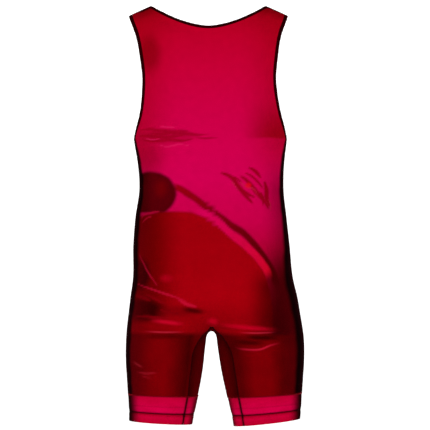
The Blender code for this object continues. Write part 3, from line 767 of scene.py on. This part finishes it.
def knit(name, roughness, sheen):
    """Stretch knit: rows of small loops, a soft sheen, and the print in its surface, with painted shade where
    the loops lie low and painted highlight where they stand high.
    """
    made = bpy.data.materials.new(name)
    made.use_nodes = True
    nodes = made.node_tree.nodes
    links = made.node_tree.links
    surface = nodes["Principled BSDF"]
    surface.inputs["Specular IOR Level"].default_value = 0.0
    surface.inputs["Specular Tint"].default_value = (1.0, 0.16, 0.24, 1.0)
    surface.inputs["Sheen Weight"].default_value = sheen
    surface.inputs["Sheen Roughness"].default_value = 0.42
    surface.inputs["Sheen Tint"].default_value = (0.80, 0.10, 0.16, 1.0)
    printed_and_shaded = nodes.new("ShaderNodeAttribute")
    printed_and_shaded.attribute_name = "print_and_shade"
    lay = nodes.new("ShaderNodeAttribute")
    lay.attribute_name = "lay"
    wales = nodes.new("ShaderNodeTexWave")
    courses = nodes.new("ShaderNodeTexWave")
    for wave, direction, pitch in ((wales, "X", 0.0010), (courses, "Y", 0.0008)):
        wave.bands_direction = direction
        wave.inputs["Scale"].default_value = math.pi / 10 / pitch
        wave.inputs["Distortion"].default_value = 0.6
        wave.inputs["Detail"].default_value = 1.0
        links.new(lay.outputs["Vector"], wave.inputs["Vector"])
    loops = nodes.new("ShaderNodeMath")
    loops.operation = "MULTIPLY"
    links.new(wales.outputs["Fac"], loops.inputs[0])
    links.new(courses.outputs["Fac"], loops.inputs[1])
    slub = nodes.new("ShaderNodeTexNoise")
    slub.inputs["Scale"].default_value = 420.0
    slub.inputs["Detail"].default_value = 3.0
    links.new(lay.outputs["Vector"], slub.inputs["Vector"])
    height = nodes.new("ShaderNodeMath")
    height.operation = "ADD"
    links.new(loops.outputs[0], height.inputs[0])
    links.new(slub.outputs["Fac"], height.inputs[1])
    bump = nodes.new("ShaderNodeBump")
    bump.inputs["Strength"].default_value = 0.22
    bump.inputs["Distance"].default_value = 0.00025
    links.new(height.outputs[0], bump.inputs["Height"])
    links.new(bump.outputs["Normal"], surface.inputs["Normal"])
    # Painted shade and highlight: the colour is darkened in the low parts of the loops and lightened a little
    # on the high parts.
    depth = nodes.new("ShaderNodeMapRange")
    depth.inputs["From Max"].default_value = 1.6
    depth.inputs["To Min"].default_value = 0.86
    depth.inputs["To Max"].default_value = 1.08
    links.new(height.outputs[0], depth.inputs["Value"])
    tone = nodes.new("ShaderNodeMix")
    tone.data_type = "RGBA"
    tone.blend_type = "MULTIPLY"
    tone.inputs["Factor"].default_value = 1.0
    links.new(printed_and_shaded.outputs["Color"], tone.inputs["A"])
    links.new(depth.outputs[0], tone.inputs["B"])
    links.new(tone.outputs["Result"], surface.inputs["Base Color"])
    patch = nodes.new("ShaderNodeTexNoise")
    patch.inputs["Scale"].default_value = 26.0
    links.new(lay.outputs["Vector"], patch.inputs["Vector"])
    gloss = nodes.new("ShaderNodeMapRange")
    gloss.inputs["To Min"].default_value = roughness - 0.06
    gloss.inputs["To Max"].default_value = roughness + 0.08
    links.new(patch.outputs["Fac"], gloss.inputs["Value"])
    links.new(gloss.outputs[0], surface.inputs["Roughness"])
    return made


def strips(numbers, flipped):
    """Quads over an array of point numbers, rows by columns."""
    a, b = numbers[:-1, :-1].ravel(), numbers[:-1, 1:].ravel()
    c, d = numbers[1:, 1:].ravel(), numbers[1:, :-1].ravel()
    quads = np.stack([a, b, c, d] if flipped else [d, c, b, a], axis=1)
    return quads


def cloth(name, outer, normals, wall, quads, colours, lays, material, lining=0.45):
    """A closed thin shell. The wrong side shows the print paler, through the white yarn."""
    count = len(outer)
    pairs = np.concatenate([quads[:, [i, (i + 1) % 4]] for i in range(4)])
    forward = pairs[:, 0] * count + pairs[:, 1]
    backward = pairs[:, 1] * count + pairs[:, 0]
    border = pairs[~np.isin(forward, backward)]
    a, b = border[:, 0], border[:, 1]
    rims = np.stack([b, a, a + count, b + count], axis=1)
    faces = np.concatenate([quads, quads[:, ::-1] + count, rims])
    mesh = bpy.data.meshes.new(name)
    mesh.from_pydata(np.concatenate([outer, outer - normals * wall]), [], faces)
    mesh.shade_smooth()
    mesh.set_sharp_from_angle(angle=math.radians(55))
    wrong_side = colours * (1 - lining) + dye(214, 176, 182) * lining
    rgba = np.ones((2 * count, 4))
    rgba[:, :3] = np.clip(np.concatenate([colours, wrong_side]), 0, 1)
    mesh.attributes.new("print_and_shade", "FLOAT_COLOR", "POINT").data.foreach_set("color", rgba.ravel())
    both = np.concatenate([lays, lays])
    mesh.attributes.new("lay", "FLOAT_VECTOR", "POINT").data.foreach_set("vector", both.ravel())
    mesh.materials.append(material)
    piece = bpy.data.objects.new(name, mesh)
    bpy.context.scene.collection.objects.link(piece)
    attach(piece, "root")
    return piece


def run_across(points):
    """Length along each row of points from its first column."""
    steps = np.linalg.norm(np.diff(points, axis=1), axis=-1)
    return np.concatenate([np.zeros((len(points), 1)), np.cumsum(steps, axis=1)], axis=1)


def folded_half(face, side):
    """One half of a panel with its folds, held smooth along every seam."""
    angles, drops = half_panel(face)
    points = form(face, side, angles, drops)
    normals = form_normal(face, side, angles, drops)
    across = run_across(points)
    down = run_across(points.transpose(1, 0, 2)).T
    hold = ease_in((across[:, -1:] - across) / 0.022) * ease_in((down[-1:] - down) / 0.010)
    hold = hold * ease_in(down / 0.030)
    on_leg = ease_in((drops - GUSSET_POINT[face] + 0.004) / 0.012)
    hold = hold * (1 - on_leg * (1 - ease_in(across / 0.016)))
    height = fold_height(face, points[..., 0], points[..., 2]) * hold
    lays = np.stack([across * SIDES[side], -down, np.zeros(across.shape)], axis=-1)
    return points + normals * height[..., None], normals, lays


def panel(face, material):
    joined_rows = YOKE_ROWS + BODY_ROWS + 1
    blocks = {side: folded_half(face, side) for side in SIDES}
    points, normals, lays = (
        np.concatenate([blocks[side][i].reshape(-1, 3) for side in SIDES]) for i in range(3)
    )
    shape = half_panel(face)[0].shape
    first = np.arange(shape[0] * shape[1]).reshape(shape)
    second = first + first.size
    second[:joined_rows, 0] = first[:joined_rows, 0]
    quads = np.concatenate(
        [
            strips(numbers, FACES[face] * SIDES[side] > 0)
            for side, numbers in (("left", first), ("right", second))
        ]
    )
    used = np.unique(quads)
    renumber = np.zeros(len(points), int)
    renumber[used] = np.arange(len(used))
    points, normals, lays = points[used], normals[used], lays[used]
    colours = cloth_colour(face, points[:, 0], points[:, 2])
    return cloth(
        "printed_" + face, points, normals, CLOTH_WALL, renumber[quads], colours, lays, material
    )


printed_knit = knit("printed_knit", 0.48, 0.03)
back = panel("back", printed_knit)
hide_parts("body_back")

# ---------------------------------------------------------------- the front
# The front is the same printed knit, cut in one with the fronts of both legs, with a low scoop
# at the neck and deeper armholes. It is sewn to the back at the shoulders and down both sides,
# and folds towards the hips from the crotch.
front = panel("front", printed_knit)
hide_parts("body_front")

# ---------------------------------------------------------------- the gusset
# The gusset is one strip of plain dark red knit. It starts at one leg's hem band, runs up the
# inside of the thigh, under the body and down the other thigh, and is sewn in on both edges.
CROTCH = 0.6340
CROTCH_ARCH_RISE = 0.0160
CROTCH_ARCH_FROM = 0.74
GUSSET_LEVEL = 0.7000
GUSSET_COLUMNS = 10


def gusset_middle(side):
    drops = leg_drops("back")
    share = np.clip((GUSSET_LEVEL - drops) / (GUSSET_LEVEL - drops[0]), 0, 1)
    spring = CROTCH + CROTCH_ARCH_RISE
    arched = np.clip((share - CROTCH_ARCH_FROM) / (1 - CROTCH_ARCH_FROM), 0, 1)
    turn = arched * math.pi / 2
    down = GUSSET_LEVEL - (GUSSET_LEVEL - spring) * np.minimum(share / CROTCH_ARCH_FROM, 1)
    down = np.where(share > 0, down, drops)
    off = at(LEGS, "gap", down) * np.cos(turn)
    down = down - CROTCH_ARCH_RISE * np.sin(turn)
    level = form("back", side, -math.pi / 2, down)
    x = centre_line(down) + SIDES[side] * off
    return np.stack([x, at(LEVELS, "side", down), level[:, 2]], axis=-1)


def gusset_half(face, side, middle):
    """From the middle line to one seam, round the thigh, for every row."""
    drops = leg_drops(face)
    angle = inner_angle(face, drops)
    seam = form(face, side, angle, drops)
    turn = (angle + math.pi / 2)[:, None]
    exponent = 2 / at(LEVELS, "square", drops)[:, None]
    share = np.linspace(0, 1, GUSSET_COLUMNS + 1)
    along = np.sin(turn * share) ** exponent / np.sin(turn) ** exponent
    inward = (1 - np.cos(turn * share) ** exponent) / (1 - np.cos(turn) ** exponent)
    step = (seam - middle)[:, None, :]
    level = np.array([1, 0, 1])
    points = middle[:, None, :] + step * (1 - level) * along[..., None]
    return points + step * level * inward[..., None], form_normal(face, side, angle, drops)


def gusset_points():
    rows = []
    edges = []
    for side in SIDES:
        middle = gusset_middle(side)
        behind, behind_normal = gusset_half("back", side, middle)
        before, before_normal = gusset_half("front", side, middle)
        strip = np.concatenate([behind[:, ::-1], before[:, 1:]], axis=1)
        ends = np.stack([behind_normal, before_normal], axis=1)
        if side == "left":
            rows, edges = strip[::-1], ends[::-1]
        else:
            rows = np.concatenate([rows, strip[1:]])
            edges = np.concatenate([edges, ends[1:]])
    normals = np.cross(np.gradient(rows, axis=1), np.gradient(rows, axis=0))
    normals /= np.linalg.norm(normals, axis=-1, keepdims=True)
    normals[:, 0] = edges[:, 0]
    normals[:, -1] = edges[:, 1]
    return rows, normals


points, normals = gusset_points()
across = run_across(points)
along = run_across(points.transpose(1, 0, 2)).T
numbers = np.arange(across.size).reshape(across.shape)
# Painted shade: the strip darkens to near black towards both seams, on the insides of the thighs.
middling = ease_in(np.minimum(across, across[:, -1:] - across) / 0.030)
tone = (0.30 + 0.45 * middling + 0.15 * mottle(across, along, 0.03, 41)).ravel()
gusset = cloth(
    "gusset_strip",
    points.reshape(-1, 3),
    normals.reshape(-1, 3),
    CLOTH_WALL,
    strips(numbers, True),
    dyed(np.broadcast_to(NEAR_BLACK, (tone.size, 3)), tone, dye(104, 0, 12)),
    np.stack([across, along, np.zeros(across.shape)], axis=-1).reshape(-1, 3),
    knit("gusset_knit", 0.50, 0.02),
)
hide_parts("gusset")

# ---------------------------------------------------------------- the hem bands
# Each leg ends in a band of brighter knit, sewn on, turned up inside and held by a line of
# cover stitch 20 mm above the fold. The band closes in a ring in line with the gusset's back
# seam, and hugs the thigh, so the cloth puckers a little along the stitches.
BAND_ROWS = 34
BAND_COLUMNS = 150
HEM_STITCH = 0.0200  # height of the cover stitch over the fold
CLOSING_GAP = 0.004  # turn left open each side of the closing seam
BAND_GROUND = [  # heights over the fold
    (0.000, dye(188, 0, 44)),
    (0.012, dye(206, 6, 60)),
    (0.019, dye(180, 0, 40)),
    (0.022, dye(214, 0, 74)),
    (0.040, dye(208, 0, 66)),
    (0.054, dye(194, 4, 54)),
]


def band_ring(side):
    """Angles once round the leg, from the closing seam, and which panel each follows."""
    seam = inner_angle("back", BAND_TOP)
    quarter = math.pi / 2
    inside = round(BAND_COLUMNS * (seam + quarter) / math.pi)
    return [
        ("back", np.linspace(seam - CLOSING_GAP, -quarter, inside + 1)[:-1]),
        ("front", np.linspace(-quarter, quarter, BAND_COLUMNS + 1)[:-1]),
        ("back", np.linspace(quarter, seam + CLOSING_GAP, BAND_COLUMNS - inside + 1)),
    ]


def hem_band(side, material):
    drops = np.linspace(BAND_TOP, HEM, BAND_ROWS + 1)[:, None]
    ring = [(face, side, turn[None, :], drops) for face, turn in band_ring(side)]
    points = np.concatenate([form(*stretch) for stretch in ring], axis=1)
    normals = np.concatenate([form_normal(*stretch) for stretch in ring], axis=1)
    across = run_across(points)
    up = np.linspace(HEM - BAND_TOP, 0, BAND_ROWS + 1)[:, None] + 0 * across
    round_it = across / across[:, -1:]
    pucker = mottle(across, up * 0.25, 0.0075, 51 + SIDES[side])
    near_stitch = np.exp(-(((up - HEM_STITCH) / 0.0035) ** 2))
    fold = ease_in(1 - up / HEM_STITCH)
    height = -0.0009 * near_stitch + 0.0008 * fold * (1 + 0.5 * pucker)
    height = height + 0.0006 * pucker * np.exp(-(((up - HEM_STITCH) / 0.009) ** 2))
    closing = np.minimum(round_it, 1 - round_it) * across[:, -1:]
    height = height * ease_in((HEM - BAND_TOP - up) / 0.006) - 0.0007 * np.exp(-((closing / 0.004) ** 2))
    x, z = points[..., 0], points[..., 2]
    middle = centre_line(drops)
    inner = np.abs(x - middle) - at(LEGS, "gap", drops)
    outer = at(LEVELS, "half", drops) - np.abs(x - at(LEVELS, "middle", drops))
    colour = down_the_cloth(-up, BAND_GROUND)
    colour = dyed(colour, 0.35 * ease_in(0.5 + 0.9 * mottle(across, up * 2.5, 0.030, 55)), dye(176, 0, 46))
    colour = dyed(colour, 0.55 * np.exp(-(((up - 0.0335) / 0.0011) ** 2)), dye(165, 10, 50))
    colour = dyed(colour, 0.92 * np.exp(-(((up - HEM_STITCH) / 0.0020) ** 2)), dye(54, 0, 12))
    # Painted shade: black at the band's outer side and dark at its inner side, where the leg turns away.
    colour = dyed(colour, ease_in(1.15 - outer / 0.022), dye(22, 4, 5))
    colour = dyed(colour, 0.85 * ease_in(1.1 - inner / 0.010), dye(60, 0, 12))
    colour = dyed(colour, 0.80 * np.exp(-((closing / 0.0034) ** 2)), dye(48, 0, 10))
    numbers = np.arange(across.size).reshape(across.shape)
    return cloth(
        "band_" + side,
        (points + normals * height[..., None]).reshape(-1, 3),
        normals.reshape(-1, 3),
        CLOTH_WALL,
        strips(numbers, SIDES[side] > 0),
        colour.reshape(-1, 3),
        np.stack([across, up, 0 * up], axis=-1).reshape(-1, 3),
        material,
    )


bright_knit = knit("bright_knit", 0.46, 0.03)
for side in SIDES:
    band = hem_band(side, bright_knit)
    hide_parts("hem_band_" + side)

# ---------------------------------------------------------------- the neck binding
# A strip of near-black knit tape is folded over the raw edge all round the neck and stitched
# through. It is rounded over its fold and drawn slightly tight, so it ripples a little.
NECK_TAPE = 0.0055
TAPE_WALL = 0.0028
TAPE_LAP = 0.0014  # how far its two edges lap onto the cloth


def panel_edge(face, side, rows, columns):
    angles, drops = half_panel(face)
    points = form(face, side, angles[rows, columns], drops[rows, columns])
    return points, form_normal(face, side, angles[rows, columns], drops[rows, columns])


def ring(stretches):
    parts = [panel_edge(*stretch) for stretch in stretches]
    return np.concatenate([part[0] for part in parts]), np.concatenate([part[1] for part in parts])


def evenly(points, normals, pitch):
    """The same closed ring with its points a pitch apart."""
    closed = np.concatenate([points, points[:1]])
    run = np.concatenate([[0], np.cumsum(np.linalg.norm(np.diff(closed, axis=0), axis=1))])
    count = round(run[-1] / pitch)
    places = np.linspace(0, run[-1], count, endpoint=False)
    ends = np.concatenate([normals, normals[:1]])
    place = np.stack([np.interp(places, run, closed[:, i]) for i in range(3)], axis=-1)
    normal = np.stack([np.interp(places, run, ends[:, i]) for i in range(3)], axis=-1)
    for _ in range(3):
        normal = (np.roll(normal, 1, axis=0) + normal * 2 + np.roll(normal, -1, axis=0)) / 4
    return place, normal / np.linalg.norm(normal, axis=-1, keepdims=True), places


def sideways(points, normals, outward):
    onward = np.roll(points, -1, axis=0) - np.roll(points, 1, axis=0)
    away = np.cross(onward, normals) * outward
    return away / np.linalg.norm(away, axis=-1, keepdims=True)


def binding(name, stretches, outward, width, material):
    edge, normals, places = evenly(*ring(stretches), 0.0022)
    away = sideways(edge, normals, outward)
    ripple = 0.00035 * mottle(places, places * 0 + 0.3, 0.009, 61)
    turns = np.linspace(0, 2 * math.pi, 16, endpoint=False)
    reach = (width + TAPE_LAP) / 2
    sections = []
    for turn in turns:
        out = power(math.cos(turn), 0.75) * reach + (width - TAPE_LAP) / 2
        rise = power(math.sin(turn), 0.75) * TAPE_WALL / 2
        rise = rise - CLOTH_WALL / 2 + ripple
        groove = 0.0004 * math.exp(-(((out - 0.0012) / 0.0007) ** 2))
        groove = math.copysign(groove, math.sin(turn))
        sections.append(edge + away * (out + ripple)[:, None] + normals * (rise - groove)[:, None])
    points = np.stack(sections, axis=1)
    numbers = np.arange(len(edge) * len(turns)).reshape(len(edge), len(turns))
    numbers = np.concatenate([numbers, numbers[:1]])
    numbers = np.concatenate([numbers, numbers[:, :1]], axis=1)
    mesh = bpy.data.meshes.new(name)
    mesh.from_pydata(points.reshape(-1, 3), [], strips(numbers, outward < 0))
    mesh.shade_smooth()
    shade = dye(44, 3, 9) * (1 + 0.25 * mottle(places, places * 0, 0.02, 63))[:, None]
    rgba = np.ones((len(edge), len(turns), 4))
    rgba[..., :3] = shade[:, None, :]
    mesh.attributes.new("print_and_shade", "FLOAT_COLOR", "POINT").data.foreach_set("color", rgba.ravel())
    lays = np.zeros((len(edge), len(turns), 3))
    lays[..., 0] = places[:, None]
    lays[..., 1] = turns * 0.0024
    mesh.attributes.new("lay", "FLOAT_VECTOR", "POINT").data.foreach_set("vector", lays.ravel())
    mesh.materials.append(material)
    piece = bpy.data.objects.new(name, mesh)
    bpy.context.scene.collection.objects.link(piece)
    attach(piece, "root")
    return piece, places[-1]


black_tape = knit("black_tape", 0.50, 0.02)
neckline = [
    ("back", "left", 0, slice(NECK_COLUMNS, 0, -1)),
    ("back", "right", 0, slice(0, NECK_COLUMNS)),
    ("front", "right", 0, slice(NECK_COLUMNS, 0, -1)),
    ("front", "left", 0, slice(0, NECK_COLUMNS)),
]
neck, length = binding("neck_tape", neckline, -1.0, NECK_TAPE, black_tape)
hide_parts("neck_binding")

# ---------------------------------------------------------------- the armhole bindings
# Each armhole is finished in the same way with a slightly wider tape of the same knit.
ARM_TAPE = 0.0070
for side in SIDES:
    armhole = [
        ("back", side, slice(0, YOKE_ROWS), -1),
        ("front", side, slice(YOKE_ROWS, 0, -1), -1),
    ]
    arm, length = binding("armhole_tape_" + side, armhole, -SIDES[side], ARM_TAPE, black_tape)
    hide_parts("armhole_binding_" + side)

# ---------------------------------------------------------------- the seams
# Every seam is a flat one: thread looped to and fro across the join, dark red at the tops of
# the hem bands and black elsewhere. Each hem has two rows of straight stitches in black thread.
SEAM_PITCH = 0.0022
THREAD = 0.00034
STITCH_ROWS_APART = 0.0042


def thread_material(name, shade, light):
    made = bpy.data.materials.new(name)
    made.use_nodes = True
    nodes = made.node_tree.nodes
    links = made.node_tree.links
    surface = nodes["Principled BSDF"]
    surface.inputs["Specular IOR Level"].default_value = 0.01
    twist = nodes.new("ShaderNodeTexNoise")
    twist.inputs["Scale"].default_value = 900.0
    where = nodes.new("ShaderNodeTexCoord")
    links.new(where.outputs["Object"], twist.inputs["Vector"])
    ramp = nodes.new("ShaderNodeValToRGB")
    ramp.color_ramp.elements[0].color = (*shade, 1)
    ramp.color_ramp.elements[1].color = (*light, 1)
    links.new(twist.outputs["Fac"], ramp.inputs["Fac"])
    links.new(ramp.outputs["Color"], surface.inputs["Base Color"])
    gloss = nodes.new("ShaderNodeMapRange")
    gloss.inputs["To Min"].default_value = 0.42
    gloss.inputs["To Max"].default_value = 0.62
    links.new(twist.outputs["Fac"], gloss.inputs["Value"])
    links.new(gloss.outputs[0], surface.inputs["Roughness"])
    return made


def resample(points, normals, pitch):
    """An open line with its points a pitch apart, its normals and its run."""
    run = np.concatenate([[0], np.cumsum(np.linalg.norm(np.diff(points, axis=0), axis=1))])
    places = np.linspace(0, run[-1], max(2, round(run[-1] / pitch)) + 1)
    place = np.stack([np.interp(places, run, points[:, i]) for i in range(3)], axis=-1)
    normal = np.stack([np.interp(places, run, normals[:, i]) for i in range(3)], axis=-1)
    return place, normal / np.linalg.norm(normal, axis=-1, keepdims=True)


def threads(name, lines, material, thick=THREAD):
    """Short round threads, each arched over the cloth from one end to the other."""
    sides = 6
    bows = [(0.0, -0.6), (0.12, 0.5), (0.5, 1.0), (0.88, 0.5), (1.0, -0.6)]
    turn = np.arange(sides) * 2 * math.pi / sides
    points = []
    quads = []
    for starts, ends, normals in lines:
        onward = ends - starts
        onward = onward / np.linalg.norm(onward, axis=-1, keepdims=True)
        aside = np.cross(onward, normals)
        for start, end, normal, side_way in zip(starts, ends, normals, aside):
            base = len(points)
            for share, lift in bows:
                heart = start + (end - start) * share + normal * (lift * thick)
                for angle in turn:
                    out = side_way * math.cos(angle) + normal * math.sin(angle)
                    points.append(heart + out * thick)
            for k in range(len(bows) - 1):
                for a in range(sides):
                    b = (a + 1) % sides
                    low, high = base + k * sides, base + (k + 1) * sides
                    quads.append((low + a, low + b, high + b, high + a))
            quads.append(tuple(base + a for a in reversed(range(sides))))
            quads.append(tuple(base + (len(bows) - 1) * sides + a for a in range(sides)))
    mesh = bpy.data.meshes.new(name)
    mesh.from_pydata(points, [], quads)
    mesh.shade_smooth()
    mesh.materials.append(material)
    piece = bpy.data.objects.new(name, mesh)
    bpy.context.scene.collection.objects.link(piece)
    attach(piece, "root")
    return piece


def flat_seam(points, normals, width):
    """Slanting threads to and fro across a join."""
    place, normal = resample(points, normals, SEAM_PITCH / 2)
    onward = np.gradient(place, axis=0)
    aside = np.cross(onward, normal)
    aside /= np.linalg.norm(aside, axis=-1, keepdims=True)
    to_side = np.where(np.arange(len(place)) % 2 == 0, 0.5, -0.5)[:, None] * width
    corners = place + aside * to_side
    return corners[:-1], corners[1:], normal[:-1]


def stitch_row(points, normals, length, gap):
    """Straight stitches end to end."""
    place, normal = resample(points, normals, length + gap)
    onward = np.diff(place, axis=0)
    return place[:-1], place[:-1] + onward * (length / (length + gap)), normal[:-1]


thread = thread_material("black_thread", dye(16, 3, 6), dye(46, 5, 14))
red_thread = thread_material("red_thread", dye(84, 0, 10), dye(150, 0, 30))
rows = np.linspace(0, 1, 240)
mid_seam = np.array([0, SEAM_GAP / 2, 0])
for side in SIDES:
    drops = UNDERARM + (BAND_TOP - UNDERARM) * rows
    quarter = np.full(rows.shape, math.pi / 2)
    aside = np.tile([SIDES[side], 0.0, 0.0], (len(rows), 1))
    side_line = form("back", side, quarter, drops) + mid_seam
    threads("side_seam_" + side, [flat_seam(side_line, aside, 0.0050)], thread)
    angles, levels = half_panel("back")
    over = slice(NECK_COLUMNS, None)
    shoulder_line = form("back", side, angles[0, over], levels[0, over]) + mid_seam
    upward = form_normal("back", side, angles[0, over], levels[0, over]) * np.array([1, 0, 1])
    upward /= np.linalg.norm(upward, axis=-1, keepdims=True)
    threads("shoulder_seam_" + side, [flat_seam(shoulder_line, upward, 0.0062)], thread, 0.00042)
    seams = []
    for face in FACES:
        levels = np.linspace(GUSSET_POINT[face], BAND_TOP, 120)
        turn = inner_angle(face, levels)
        line = form(face, side, turn, levels)
        seams.append(flat_seam(line, form_normal(face, side, turn, levels), 0.0040))
    threads("gusset_seams_" + side, seams, thread, 0.00028)
    joins = []
    hems = []
    for face in FACES:
        turn = np.linspace(-math.pi / 2, math.pi / 2, 160)
        stitch_level = HEM - HEM_STITCH
        for level, made in (
            (BAND_TOP, joins),
            (stitch_level, hems),
            (stitch_level + STITCH_ROWS_APART, hems),
        ):
            line = form(face, side, turn, level)
            normal = form_normal(face, side, turn, level)
            if made is joins:
                made.append(flat_seam(line, normal, 0.0036))
            else:
                made.append(stitch_row(line - normal * 0.0006, normal, 0.0026, 0.0008))
    threads("band_seam_" + side, joins, red_thread, 0.00026)
    threads("hem_stitches_" + side, hems, thread, 0.00030)
    levels = np.linspace(BAND_TOP, HEM, 40)
    turn = np.full(levels.shape, inner_angle("back", BAND_TOP))
    line = form("back", side, turn, levels)
    closing = flat_seam(line, form_normal("back", side, turn, levels), 0.0044)
    threads("band_closing_" + side, [closing], thread)

# ---------------------------------------------------------------- the studio
# A plain pale floor runs up into a backdrop of the same lit paper all round. The light is soft:
# a large box high on the camera's side to left and right, one overhead and one on the far side.
FLOOR = -1.02
FLOOR_REACH = 9.0
SWEEP_RADIUS = 2.0
SWEEP_STEPS = 12
BACKDROP_TOP = 4.5
AROUND_STEPS = 72
profile = [(0.0, FLOOR), (FLOOR_REACH, FLOOR)]
for step in range(1, SWEEP_STEPS + 1):
    turn = step / SWEEP_STEPS * math.pi / 2
    reach = FLOOR_REACH + SWEEP_RADIUS * math.sin(turn)
    profile.append((reach, FLOOR + SWEEP_RADIUS * (1 - math.cos(turn))))
profile.append((FLOOR_REACH + SWEEP_RADIUS, BACKDROP_TOP))
around = np.arange(AROUND_STEPS + 1) / AROUND_STEPS * 2 * math.pi
sweep = [(r * math.cos(turn), r * math.sin(turn), z) for turn in around for r, z in profile]
numbers = np.arange(len(sweep)).reshape(len(around), len(profile))
mesh = bpy.data.meshes.new("studio_sweep")
mesh.from_pydata(sweep, [], strips(numbers, False))
mesh.shade_smooth()
paper = bpy.data.materials.new("backdrop_paper")
paper.use_nodes = True
paper_surface = paper.node_tree.nodes["Principled BSDF"]
paper_surface.inputs["Base Color"].default_value = (0.80, 0.80, 0.80, 1)
paper_surface.inputs["Roughness"].default_value = 0.9
paper_surface.inputs["Specular IOR Level"].default_value = 0.1
paper_surface.inputs["Emission Color"].default_value = (1, 1, 1, 1)
paper_surface.inputs["Emission Strength"].default_value = 0.74
mesh.materials.append(paper)
backdrop = bpy.data.objects.new("studio_sweep", mesh)
bpy.context.scene.collection.objects.link(backdrop)


def soft_box(name, place, aim, size, power_watts):
    light = bpy.data.lights.new(name, "AREA")
    light.shape = "RECTANGLE"
    light.size, light.size_y = size
    light.energy = power_watts
    holder = bpy.data.objects.new(name, light)
    holder.location = place
    way = np.array(aim) - np.array(place)
    holder.rotation_euler = (
        math.atan2(math.hypot(way[0], way[1]), -way[2]),
        0,
        math.atan2(way[1], way[0]) - math.pi / 2,
    )
    bpy.context.scene.collection.objects.link(holder)


soft_box("front_left_box", (-1.5, -2.4, 1.3), (0, 0, -0.35), (1.2, 1.4), 30)
soft_box("front_right_box", (1.7, -2.3, 0.8), (0, 0, -0.45), (1.0, 1.4), 16)
soft_box("overhead_box", (0, -0.3, 2.0), (0, 0, -0.4), (1.6, 1.2), 14)
soft_box("behind_box", (0.5, 2.4, 1.0), (0, 0, -0.4), (1.4, 1.2), 26)

room = bpy.data.worlds.new("pale_room")
room.use_nodes = True
room.node_tree.nodes["Background"].inputs["Color"].default_value = (1, 1, 1, 1)
room.node_tree.nodes["Background"].inputs["Strength"].default_value = 0.12
bpy.context.scene.world = room
bpy.context.scene.view_settings.view_transform = "Standard"

CAMERA_AWAY = 8.0
VIEW_WIDTH = 0.8514
lens = bpy.data.cameras.new("camera")
lens.angle = 2 * math.atan(VIEW_WIDTH / 2 / CAMERA_AWAY)
camera = bpy.data.objects.new("camera", lens)
camera.location = (0.009, -CAMERA_AWAY, -0.404)
camera.rotation_euler = (math.pi / 2, 0, 0)
bpy.context.scene.collection.objects.link(camera)
bpy.context.scene.camera = camera
